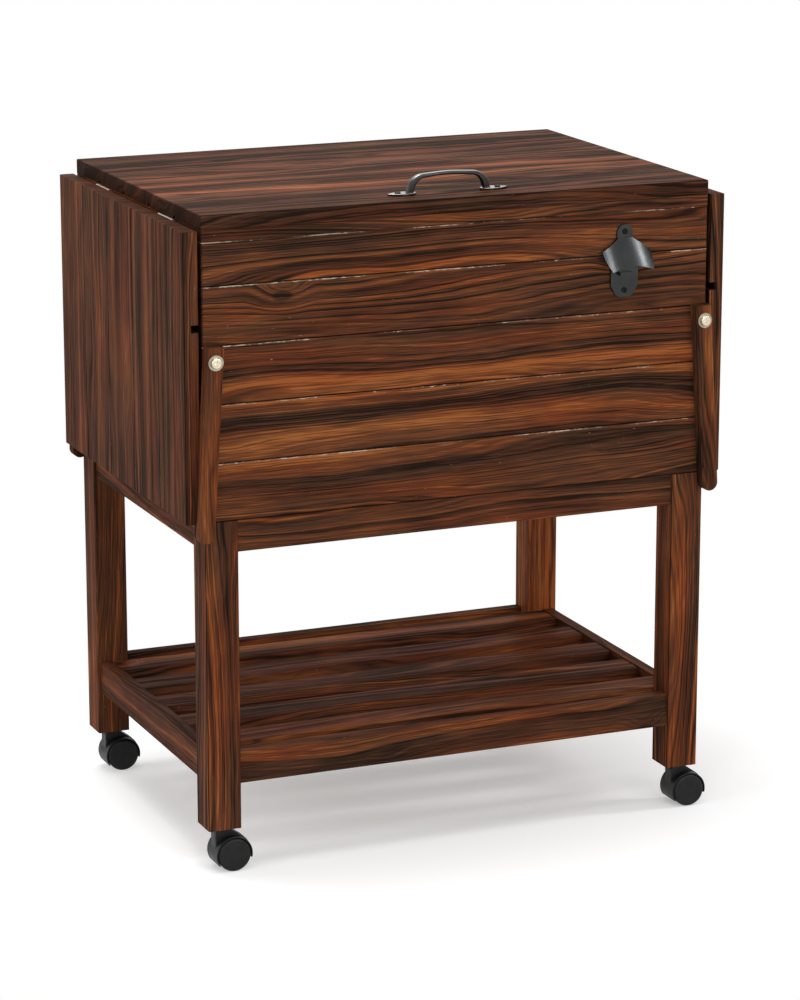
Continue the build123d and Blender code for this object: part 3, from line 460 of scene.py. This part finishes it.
fir_front = torched_fir(
    "torched_fir_front", X, Z, Y, first_row, BOARD_HEIGHT, 0.02, 3, 1, last_joint=RIM_UNDERSIDE
)
fir_rails = torched_fir("torched_fir_rails", X, Z, Y, first_row, BOARD_HEIGHT, -0.04, 21)
fir_sides = torched_fir(
    "torched_fir_sides", Y, Z, X, first_row, BOARD_HEIGHT, 0, 5, 1, last_joint=RIM_UNDERSIDE
)
fir_lid = torched_fir("torched_fir_lid", X, Y, Z, first_plank, PLANK_WIDTH, -0.19, 8)
fir_leaves = torched_fir(
    "torched_fir_leaves", Z, Y, X, first_plank, PLANK_WIDTH, 0.03, 6, edge_highlight=0.3, uneven=0.22
)
fir_uprights = torched_fir("torched_fir_uprights", Z, Y, X, *whole_leg, 0.2, 13)
fir_arms = torched_fir("torched_fir_arms", Z, Y, X, *whole_leg, 0.03, 17)
fir_slats = torched_fir("torched_fir_slats", X, Y, Z, first_slat, SLAT_PITCH, -0.02, 4)
print("torched fir in", len([m for m in bpy.data.materials if "fir" in m.name]), "cuts")

# %% [markdown]
# ## Unstained fir
#
# The floor of the case, the cleats under the slats and the battens inside the lid are hardly
# seen, and the maker only oils them. Planed fir shows quiet straight rings, honey coloured and a
# little darker on the late wood. The same idea of one field gives them, with less wander.

# %% The plain fir material
PLAIN_DRIFT = (600, 60)
PLAIN_FIBRE = (30, 1)
PLAIN_WANDER = 34.0


def plain_fir(name, along, across, through):
    """Planed and oiled fir without the torching."""
    material, tree = new_material(name)
    place = add(tree, "TexCoord", out=3)
    axes = add(tree, "SeparateXYZ", {0: place}, out=None)
    turned = {0: axes[along], 1: axes[across], 2: axes[through]}
    grain = add(tree, "CombineXYZ", turned)
    mm = add(tree, "VectorMath", {0: grain, 3: 1 / MM}, operation="SCALE")
    wander = streaks(tree, mm, PLAIN_DRIFT, 1.0)
    place = add(tree, "Math", {0: wander, 1: PLAIN_WANDER}, operation="MULTIPLY")
    sockets = {"W": place, "Scale": 1.0, "Detail": 1.0}
    ring = add(tree, "TexNoise", sockets, noise_dimensions="1D")
    fibre = streaks(tree, mm, PLAIN_FIBRE, 1.0)
    light = add(tree, "Math", {0: fibre, 1: 0.4, 2: ring}, operation="MULTIPLY_ADD")
    wood = add(
        tree,
        "ValToRGB",
        {0: light},
        stops=[(0.35, colour("8a5f36")), (0.95, colour("c89c66")), (0.62, colour("b1834f"))],
    )
    dull = add(tree, "MapRange", {0: light, 1: 0.3, 2: 0.9, 3: 0.62, 4: 0.5})
    relief = add(tree, "Bump", {"Height": light, "Distance": 0.3 * MM, "Strength": 0.4})
    surface = add(tree, "BsdfPrincipled", {"Base Color": wood, "Roughness": dull, "Normal": relief})
    add(tree, "OutputMaterial", {0: surface})
    return material


oiled_fir_long = plain_fir("oiled_fir_long", X, Y, Z)
oiled_fir_cross = plain_fir("oiled_fir_cross", Y, X, Z)
print("oiled fir along the cart and across it:", oiled_fir_long.name, oiled_fir_cross.name)

# %% [markdown]
# ## Metals and plastics
#
# Four things vary on any plain finish: its colour in slow clouds, its gloss in smaller ones, a
# fine texture that the making left, and whether it is metal. One function takes those, so that
# the differences between zinc, cast iron and moulded plastic can be read side by side. The grain
# is stretched along an axis where the real surface was brushed or drawn, and even where it was
# cast, tumbled or moulded. A tumbled or moulded texture is about a tenth of a millimetre fine,
# which no picture of the whole cooler can show, so it is drawn about a millimetre coarse.

# %% A finish with a cloud, a grain and a gloss
METAL, NO_METAL = 1.0, 0.0
RELIEF_STRENGTH = 0.5


def finish(
    name, dark, pale, metal, gloss, cloud_mm, grain_mm, relief_mm, top_highlight=None, **extra
):
    """A metal, plastic or foam finish; grain_mm is a size along each axis.

    Gloss is the roughness of the dark and of the pale parts, and top_highlight is a painted
    highlight colour on the faces that look up. Anything extra goes straight onto the shader.
    """
    material, tree = new_material(name)
    place = add(tree, "TexCoord", out=3)
    mm = add(tree, "VectorMath", {0: place, 3: 1 / MM}, operation="SCALE")
    cloud = add(tree, "TexNoise", {"Vector": mm, "Scale": 1 / cloud_mm, "Detail": 3.0})
    fine_place = add(
        tree, "VectorMath", {0: mm, 1: [1 / size for size in grain_mm]}, operation="MULTIPLY"
    )
    grain = add(tree, "TexNoise", {"Vector": fine_place, "Scale": 1.0, "Detail": 2.0})
    mixed = add(tree, "Math", {0: grain, 1: 0.45, 2: cloud}, operation="MULTIPLY_ADD")
    share = add(tree, "MapRange", {0: mixed, 1: 0.5, 2: 0.95})
    tint = add(
        tree, "Mix", {0: share, 6: colour(dark), 7: colour(pale)}, out=2, data_type="RGBA"
    )
    if top_highlight:
        # Painted highlight: the faces that look up are mixed towards a pale colour, as if lit from
        # above.
        upward = add(tree, "SeparateXYZ", {0: add(tree, "TexCoord", out=1)}, out=None)[2]
        top_highlight_mask = add(tree, "MapRange", {0: upward, 1: 0.5, 2: 1.0}, **SMOOTH)
        tint = add(tree, "Mix", {0: top_highlight_mask, 6: tint, 7: colour(top_highlight)}, out=2, data_type="RGBA")
    rough = add(tree, "MapRange", {0: mixed, 1: 0.5, 2: 0.95, 3: gloss[0], 4: gloss[1]})
    relief = add(
        tree,
        "Bump",
        {"Height": grain, "Distance": relief_mm * MM, "Strength": RELIEF_STRENGTH},
    )
    sockets = {"Base Color": tint, "Roughness": rough, "Normal": relief, "Metallic": metal}
    surface = add(tree, "BsdfPrincipled", {**sockets, **extra})
    add(tree, "OutputMaterial", {0: surface})
    return material


def even(size):
    """A grain that is as long as it is wide."""
    return (size, size, size)


print("a fine texture shows at", RELIEF_STRENGTH, "of its full strength")

# %% The metals
# Zinc-plated mild steel, barrel plated and clear passivated: pale, slightly yellow, satin.
zinc = finish(
    "zinc_plated_steel", "a8a498", "d2cec2", METAL, (0.42, 0.28), 14, even(1.2), 0.05
)
# Cast iron, tumbled and blackened in hot oil, with a painted highlight on the faces that look up.
iron = finish(
    "black_iron_top_highlight", "302f2e", "444241", METAL, (0.28, 0.2), 22, even(1.6), 0.02, "9c9d99"
)
# Gunmetal: a zinc casting with a dark nickel plate, tumbled, so it is smooth, with broad lights.
gunmetal = finish(
    "gunmetal_casting", "353737", "404242", METAL, (0.25, 0.2), 26, even(1.1), 0.012
)
# Nickel-plated bolts, drawn and barrel plated: brighter and warmer than the zinc. The washers
# under them are punched from sheet, and are painted darker than the bolts: painted shade for the
# dark ring round each head.
nickel = finish(
    "nickel_plated_bolts", "cdc0a8", "eadfca", METAL, (0.34, 0.22), 9, even(1.0), 0.03
)
shaded_nickel = finish(
    "shaded_nickel_washers", "8c8271", "b3a893", METAL, (0.4, 0.3), 9, even(1.0), 0.03
)
# Black phosphated wood screws: a dull crystal skin.
screw_black = finish(
    "phosphated_screws", "151515", "2c2b2a", METAL, (0.62, 0.45), 5, even(0.8), 0.05
)
# Stainless sheet for the tub, rolled and lightly brushed front to back before it was folded.
sheet = finish(
    "brushed_stainless_sheet", "9a9d9f", "c4c7c8", METAL, (0.38, 0.26), 60, (1.4, 26, 1.4), 0.04
)
metals = (zinc, iron, gunmetal, nickel, shaded_nickel, screw_black, sheet)
print(len(metals), "metals:", [metal.name for metal in metals])

# %% Foam and plastics
# Rigid polyurethane foam, cut with a saw: cream, dull, full of half-millimetre cells, which are
# drawn three times as coarse, so that they show.
foam = finish("rigid_foam", "cdbf93", "eadfb9", NO_METAL, (0.95, 0.85), 40, even(1.6), 0.5)
# Drain parts, injection-moulded white acetal.
acetal = finish(
    "moulded_white_acetal", "cfcfca", "e9e9e5", NO_METAL, (0.42, 0.3), 12, even(0.9), 0.03
)
# Caster hoods, injection-moulded nylon with a fine spark-eroded texture that scatters its shine.
SOFT_SHEEN = {"Specular IOR Level": 0.2}
nylon = finish(
    "moulded_black_nylon",
    "0e0e0e",
    "1b1b1b",
    NO_METAL,
    (0.5, 0.36),
    16,
    even(0.9),
    0.06,
    **SOFT_SHEEN,
)
# Wheels, a harder smooth nylon that picks up scuffs as it rolls.
wheel_nylon = finish(
    "rolled_black_nylon",
    "0f0f0f",
    "1d1d1d",
    NO_METAL,
    (0.44, 0.3),
    9,
    even(0.7),
    0.04,
    **SOFT_SHEEN,
)
print(len(bpy.data.materials), "materials so far, and the plain ones of the CAD among them")

# %% [markdown]
# ## Which finish on which piece
#
# A CAD node keeps its shape and only gets its finish here. The table reads like a cutting list:
# a finish, and the pieces made from it. Every node has to be in it, and the check at the end of
# the cell says so.

# %% Dress the CAD nodes
CORNERS = ("front_left", "front_right", "rear_left", "rear_right")
BRACES = ("left_brace", "right_brace")
dressed = {
    fir_front: ["front_boards", "rear_boards", "rim_long_boards"],
    fir_rails: ["long_aprons", "shelf_long_rails"],
    fir_sides: [
        "left_side_boards",
        "right_side_boards",
        "side_aprons",
        "shelf_short_rails",
        "rim_short_boards",
    ],
    fir_lid: ["lid_boards"],
    fir_leaves: ["left_leaf_boards", "right_leaf_boards"],
    fir_uprights: ["leg_" + corner for corner in CORNERS],
    fir_arms: [f"{brace}_{end}_arm" for brace in BRACES for end in ("front", "rear")],
    fir_slats: ["shelf_slats"],
    oiled_fir_long: ["floor_panel"],
    oiled_fir_cross: ["shelf_cleats", "lid_battens"],
    foam: ["insulation_shell", "lid_insulation"],
    sheet: ["liner_tub", "lid_inner_skin"],
    zinc: [
        "lid_hinge_case_leaves",
        "lid_hinge_lid_leaves",
        "table_hinge_case_leaves",
        "table_hinge_left_leaves",
        "table_hinge_right_leaves",
        "hinge_pins",
        "left_brace_rod",
        "right_brace_rod",
        "caster_sockets",
    ]
    + ["caster_pins_" + corner for corner in CORNERS],
    nickel: ["pivot_bolts"],
    shaded_nickel: ["pivot_washers"],
    iron: ["handle"],
    gunmetal: ["opener"],
    screw_black: ["handle_screws", "opener_screws"],
    acetal: ["drain_fitting", "drain_nut", "drain_tap", "drain_lever"],
    nylon: ["caster_hood_" + corner for corner in CORNERS],
    wheel_nylon: ["caster_wheels_" + corner for corner in CORNERS],
}
for material, names in dressed.items():
    for name in names:
        for material_slot in nodes[name].material_slots:
            material_slot.material = material
finished = {name for names in dressed.values() for name in names}
print("nodes without a finish:", sorted(set(nodes) - finished))

# %% [markdown]
# ## The foam round the tub
#
# Between the boards and the tub the real cooler has rigid foam, poured into the case and sawn
# flat. It is one block with a hollow for the tub, cut back at the corners for the legs' upper
# ends, with a bore for the drain. A block like that is easiest as open walls first: an outline
# pulled up, a rounded plate pulled up inside it, and flat faces that close the rings between.

# %% Helpers for poured blocks
def rounded_plate(shape, half_x, half_y, corner, z):
    """A flat rectangle at a height, with rounded corners, sizes in mm."""
    made = bmesh.ops.create_grid(shape, x_segments=1, y_segments=1, size=1.0)["verts"]
    bmesh.ops.scale(shape, vec=(half_x * MM, half_y * MM, 1), verts=made)
    bmesh.ops.translate(shape, vec=(0, 0, z * MM), verts=made)
    bmesh.ops.bevel(
        shape,
        geom=made,
        offset=corner * MM,
        affect="VERTICES",
        segments=5,
        profile=0.5,
        material=-1,
    )


def edges_at(shape, z):
    """The open edges that lie flat at a height."""
    flat = [e for e in shape.edges if all(abs(v.co.z - z * MM) < 1e-6 for v in e.verts)]
    return [e for e in flat if e.is_boundary]


def pull(shape, edges, rise):
    """Pulls a wall up, or down, from a ring of edges."""
    pulled = bmesh.ops.extrude_edge_only(shape, edges=edges)["geom"]
    moved = [v for v in pulled if isinstance(v, bmesh.types.BMVert)]
    bmesh.ops.translate(shape, vec=(0, 0, rise * MM), verts=moved)


def as_piece(shape, name, material, body):
    """Turns a finished shape into a piece that rides on a body."""
    bmesh.ops.remove_doubles(shape, verts=shape.verts, dist=1e-6)
    bmesh.ops.recalc_face_normals(shape, faces=shape.faces)
    open_edges = sum(not e.is_manifold for e in shape.edges)
    mesh = bpy.data.meshes.new(name)
    shape.to_mesh(mesh)
    shape.free()
    piece = bpy.data.objects.new(name, mesh)
    bpy.context.scene.collection.objects.link(piece)
    mesh.materials.append(material)
    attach(piece, body)
    print(name, len(mesh.polygons), "faces,", open_edges, "open edges, rides on", body)
    return piece


# %% The block round the tub
FOAM_LOW, FOAM_FLOOR, FOAM_TOP = 430.5, 450.5, RIM_UNDERSIDE
FOAM_X, FOAM_Y = 304.0, 208.0
POST_X, POST_Y = 275.7, 179.7
TUB_X, TUB_Y, TUB_CORNER, TUB_BEND = 282.0, 186.0, 25.5, 14.5
DRAIN_Y, DRAIN_RADIUS = 150.0, 9.1
block = bmesh.new()
# A grid of three by three faces runs from -1 to 1. Its outer lines go to the foam's sides, its
# inner ones to the faces of the posts, and the four corner faces then make room for the posts.
outline = bmesh.ops.create_grid(block, x_segments=3, y_segments=3, size=1.0)["verts"]
for vert in outline:
    vert.co.x = math.copysign(POST_X if abs(vert.co.x) < 0.5 else FOAM_X, vert.co.x) * MM
    vert.co.y = math.copysign(POST_Y if abs(vert.co.y) < 0.5 else FOAM_Y, vert.co.y) * MM
    vert.co.z = FOAM_LOW * MM
posts = []
for face in block.faces:
    middle = face.calc_center_median() / MM
    if abs(middle.x) > POST_X and abs(middle.y) > POST_Y:
        posts.append(face)
bmesh.ops.delete(block, geom=posts, context="FACES")
pull(block, edges_at(block, FOAM_LOW), FOAM_TOP - FOAM_LOW)
bmesh.ops.delete(
    block, geom=[f for f in block.faces if abs(f.normal.z) > 0.9], context="FACES"
)
rounded_plate(block, TUB_X, TUB_Y, TUB_CORNER, FOAM_FLOOR)
floor_ring = edges_at(block, FOAM_FLOOR)
pull(block, floor_ring, FOAM_TOP - FOAM_FLOOR)
bmesh.ops.bevel(
    block,
    geom=floor_ring,
    offset=TUB_BEND * MM,
    affect="EDGES",
    segments=4,
    profile=0.5,
    material=-1,
)
bmesh.ops.delete(
    block, geom=[f for f in block.faces if abs(f.normal.z) > 0.999], context="FACES"
)
drain_middle = Matrix.Translation((0, DRAIN_Y * MM, FOAM_FLOOR * MM))
bmesh.ops.create_circle(block, segments=24, radius=DRAIN_RADIUS * MM, matrix=drain_middle)
pull(block, [e for e in block.edges if e.is_wire], FOAM_LOW - FOAM_FLOOR)
for level in (FOAM_LOW, FOAM_FLOOR, FOAM_TOP):
    bmesh.ops.triangle_fill(block, use_beauty=True, edges=edges_at(block, level))
tub_foam = as_piece(block, "tub_foam", foam, "cart")
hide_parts("insulation_shell")

# %% [markdown]
# ## The foam in the lid
#
# A sawn sheet of the same foam fills the lid. Two battens screw the planks together, so the sheet
# has two channels for them. A plane cuts the sheet where each channel starts, and the faces
# between the cuts are pushed down.

# %% The sheet in the lid
LID_FOAM_LOW, CHANNEL_FLOOR = 738.5, 744.2
LID_FOAM_X, LID_FOAM_Y, LID_FOAM_CORNER = 270.0, 174.0, 20.0
CHANNEL_INNER, CHANNEL_OUTER, CHANNEL_END = 159.7, 200.3, 154.3
filling = bmesh.new()
rounded_plate(filling, LID_FOAM_X, LID_FOAM_Y, LID_FOAM_CORNER, LID_FOAM_LOW)
pull(filling, edges_at(filling, LID_FOAM_LOW), LID_UNDERSIDE - LID_FOAM_LOW)
bmesh.ops.triangle_fill(filling, use_beauty=True, edges=edges_at(filling, LID_UNDERSIDE))
side_cuts = (-CHANNEL_OUTER, -CHANNEL_INNER, CHANNEL_INNER, CHANNEL_OUTER)
cuts = [((x * MM, 0, 0), (1, 0, 0)) for x in side_cuts]
cuts += [((0, y * MM, 0), (0, 1, 0)) for y in (-CHANNEL_END, CHANNEL_END)]
for point, facing in cuts:
    everything = filling.verts[:] + filling.edges[:] + filling.faces[:]
    bmesh.ops.bisect_plane(
        filling, geom=everything, dist=1e-6, plane_co=point, plane_no=facing
    )
channels = []
for face in filling.faces:
    centre = face.calc_center_median() / MM
    on_top = abs(centre.z - LID_UNDERSIDE) < 0.01
    in_channel = CHANNEL_INNER < abs(centre.x) < CHANNEL_OUTER and abs(centre.y) < CHANNEL_END
    if on_top and in_channel:
        channels.append(face)
pushed = bmesh.ops.extrude_face_region(filling, geom=channels)["geom"]
bmesh.ops.delete(filling, geom=[f for f in channels if f.is_valid], context="FACES")
bmesh.ops.translate(
    filling,
    vec=(0, 0, (CHANNEL_FLOOR - LID_UNDERSIDE) * MM),
    verts=[v for v in pushed if isinstance(v, bmesh.types.BMVert)],
)
lid_foam = as_piece(filling, "lid_foam", foam, "lid")
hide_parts("lid_insulation")

# %% [markdown]
# ## Screws in the hinges
#
# Butt hinges are held by countersunk cross-head screws whose heads end almost flush with the leaf.
# A low cone is the head. The cross is pressed into it: an inset face whose twelve corners are
# pinched at every third one becomes a plus, and then goes down.

# %% Countersunk cross-head screws
HEAD_RADIUS, HEAD_PROUD, HEAD_SLOPE = 3.1, 0.35, 0.25
CROSS_RADIUS, CROSS_DEPTH, CROSS_PINCH, CROSS_TAPER = 1.9, 0.45, 0.36, 0.8


def screw_heads(name, body, spots, facing):
    """Screw heads on a hinge leaf: spots in mm, and the way that the heads look."""
    shape = bmesh.new()
    turn = Vector(facing).to_track_quat("Z", "Y").to_matrix().to_4x4()
    for spot in spots:
        cone = bmesh.ops.create_cone(
            shape,
            cap_ends=True,
            segments=12,
            radius1=HEAD_RADIUS * MM,
            radius2=(HEAD_RADIUS - HEAD_SLOPE) * MM,
            depth=2 * HEAD_PROUD * MM,
        )["verts"]
        top = max({f for v in cone for f in v.link_faces}, key=lambda f: f.calc_center_median().z)
        bmesh.ops.inset_individual(
            shape, faces=[top], thickness=(HEAD_RADIUS - HEAD_SLOPE - CROSS_RADIUS) * MM
        )
        corners = list(top.verts)
        bmesh.ops.scale(shape, vec=(CROSS_PINCH, CROSS_PINCH, 1), verts=corners[::3])
        sunk = bmesh.ops.extrude_discrete_faces(shape, faces=[top])["faces"][0]
        cross_floor = list(sunk.verts)
        bmesh.ops.translate(shape, vec=(0, 0, -CROSS_DEPTH * MM), verts=cross_floor)
        bmesh.ops.scale(shape, vec=(CROSS_TAPER, CROSS_TAPER, 1), verts=cross_floor)
        head = list(set(cone) | set(corners) | set(cross_floor))
        home = Matrix.Translation(Vector(spot) * MM) @ turn
        bmesh.ops.transform(shape, matrix=home, verts=head)
    return as_piece(shape, name, zinc, body)


print("a head is", 2 * HEAD_RADIUS, "mm wide and stands", HEAD_PROUD, "mm proud")

# %% The screws in the lid's hinges
LID_HINGE_X, LID_SCREW_STEP, LID_SCREW_HEIGHTS = 180.0, 21.0, (741.0, 765.0)
HINGE_SHEET = 1.5
rear_spots = [
    (side * LID_HINGE_X + step, HALF_DEPTH + HINGE_SHEET, z)
    for side in (-1, 1)
    for step in (-LID_SCREW_STEP, 0, LID_SCREW_STEP)
    for z in LID_SCREW_HEIGHTS
]
below = [spot for spot in rear_spots if spot[2] < LID_UNDERSIDE]
above = [spot for spot in rear_spots if spot[2] > LID_UNDERSIDE]
screw_heads("lid_hinge_case_screws", "cart", below, (0, 1, 0))
screw_heads("lid_hinge_lid_screws", "lid", above, (0, 1, 0))

# %% The screws in the leaves' hinges
LEAF_HINGE_Y, LEAF_SCREW_STEP, LEAF_SCREW_HEIGHT = 111.0, 16.0, 740.5
CASE_PLATE_X, LEAF_PLATE_X = 317.0, 320.0
steps = (-LEAF_SCREW_STEP, LEAF_SCREW_STEP)
table_rows = [side * LEAF_HINGE_Y + step for side in (-1, 1) for step in steps]
for side, leaf in ((-1, "left_leaf"), (1, "right_leaf")):
    on_case = [(side * CASE_PLATE_X, y, LEAF_SCREW_HEIGHT) for y in table_rows]
    on_leaf = [(side * LEAF_PLATE_X, y, LEAF_SCREW_HEIGHT) for y in table_rows]
    screw_heads(leaf + "_hinge_case_screws", "cart", on_case, (side, 0, 0))
    screw_heads(leaf + "_hinge_screws", leaf, on_leaf, (-side, 0, 0))

# %% [markdown]
# ## A white studio
#
# The cooler stands on a white sweep under large soft lamps. The world is plain white where the
# camera or a reflection sees it, and dimmer where it only lights the wood, so that the colours
# come out as they are written. The floor keeps the soft shadow near the cooler, and far from it
# it runs out to plain white. Both ask the same question of a ray of light, so a small function
# asks it: does an eye look along this ray, straight, in a mirror or through glass?

# %% The rays that an eye looks along, and the world
def looked_along(tree):
    """1 for a ray that an eye looks along, also in a mirror or through glass, otherwise 0."""
    path = add(tree, "LightPath", out=None)
    straight, mirrored = path["Is Camera Ray"], path["Is Glossy Ray"]
    seen = add(tree, "Math", {0: straight, 1: mirrored}, operation="MAXIMUM")
    through_glass = path["Is Transmission Ray"]
    return add(tree, "Math", {0: seen, 1: through_glass}, operation="MAXIMUM")


WORLD_FILL = 0.45
WHITE = (1, 1, 1, 1)
world = bpy.data.worlds.new("studio")
bpy.context.scene.world = world
world.use_nodes = True
world.node_tree.nodes.clear()
sees = world.node_tree
strength = add(sees, "MapRange", {0: looked_along(sees), 3: WORLD_FILL, 4: 1.0})
sky = add(sees, "Background", {0: WHITE, 1: strength})
add(sees, "OutputWorld", {0: sky})
print("the world gives", WORLD_FILL, "of its white to the wood")

# %% The floor
FLOOR_RADIUS = 30.0
floor_mesh = bpy.data.meshes.new("floor")
shape = bmesh.new()
bmesh.ops.create_circle(shape, cap_ends=True, segments=64, radius=FLOOR_RADIUS)
shape.to_mesh(floor_mesh)
shape.free()
floor = bpy.data.objects.new("floor", floor_mesh)
bpy.context.scene.collection.objects.link(floor)
print("the floor reaches", FLOOR_RADIUS, "m in every direction")

# %% The floor's paint
# Distances in metres from the middle of the shadow. The floor glows a little, painted light that
# lifts the shadow. The glow is weaker right under the shelf, where the painted shadow is deepest,
# and past the last distance the floor is white.
SHADOW_MIDDLE = (0.05, -0.06, 0)
DEEPEST, LIFTED = 0.12, 0.5
FADE_STARTS, FADE_ENDS = 0.3, 0.78
LIFT_UNDER, LIFT_AROUND = 0.28, 0.4
PAPER = (0.8, 0.8, 0.8, 1)

painted, tree = new_material("painted_studio_floor")
place = add(tree, "TexCoord", out=3)
flat = add(tree, "VectorMath", {0: place, 1: SHADOW_MIDDLE}, operation="SUBTRACT")
reach = add(tree, "VectorMath", {0: flat}, out=1, operation="LENGTH")
away = add(tree, "MapRange", {0: reach, 1: FADE_STARTS, 2: FADE_ENDS}, **SMOOTH)
seen = looked_along(tree)
plain = add(tree, "Math", {0: seen, 1: away}, operation="MULTIPLY")
paint = add(tree, "BsdfDiffuse", {0: PAPER})
# Painted light: the floor's glow, weaker under the shelf, so the painted shadow is deepest there.
shadow_lift = add(
    tree, "MapRange", {0: reach, 1: DEEPEST, 2: LIFTED, 3: LIFT_UNDER, 4: LIFT_AROUND}
)
glow = add(tree, "Emission", {0: WHITE, 1: shadow_lift})
white = add(tree, "Emission", {0: WHITE, 1: 1.0})
lifted = add(tree, "AddShader", {0: paint, 1: glow})
near_floor = add(tree, "MixShader", {0: seen, 1: paint, 2: lifted})
whole = add(tree, "MixShader", {0: plain, 1: near_floor, 2: white})
add(tree, "OutputMaterial", {0: whole})
floor_mesh.materials.append(painted)
print("the floor is white from", FADE_ENDS, "m outwards")

# %% The lamps
def softbox(name, place, target, width, height, watts):
    """A rectangular area lamp that faces its target."""
    lamp = bpy.data.objects.new(name, bpy.data.lights.new(name, "AREA"))
    bpy.context.scene.collection.objects.link(lamp)
    lamp.data.shape = "RECTANGLE"
    lamp.data.size, lamp.data.size_y, lamp.data.energy = width, height, watts
    lamp.location = place
    facing = Vector(target) - Vector(place)
    lamp.rotation_euler = facing.to_track_quat("-Z", "Y").to_euler()
    return lamp


# Three softboxes light the whole cooler. Two narrow ones aim at the opener: its bent sides show
# them as bright stripes, which is how polished metal is lit in a catalogue.
MIDDLE = (0, 0, 0.45)
softbox("key_softbox", (0.6, -3.4, 1.5), MIDDLE, 2.2, 1.6, 42)
softbox("overhead_softbox", (-0.4, 0.4, 2.6), MIDDLE, 1.3, 1.1, 44)
softbox("side_softbox", (-3.4, -0.9, 1.4), MIDDLE, 1.6, 1.8, 20)
OPENER = (0.19, -0.22, 0.68)
softbox("right_strip", (2.15, -0.6, 2.35), OPENER, 0.22, 1.3, 18)
softbox("left_strip", (-0.44, -1.05, 2.65), OPENER, 0.34, 0.5, 6)
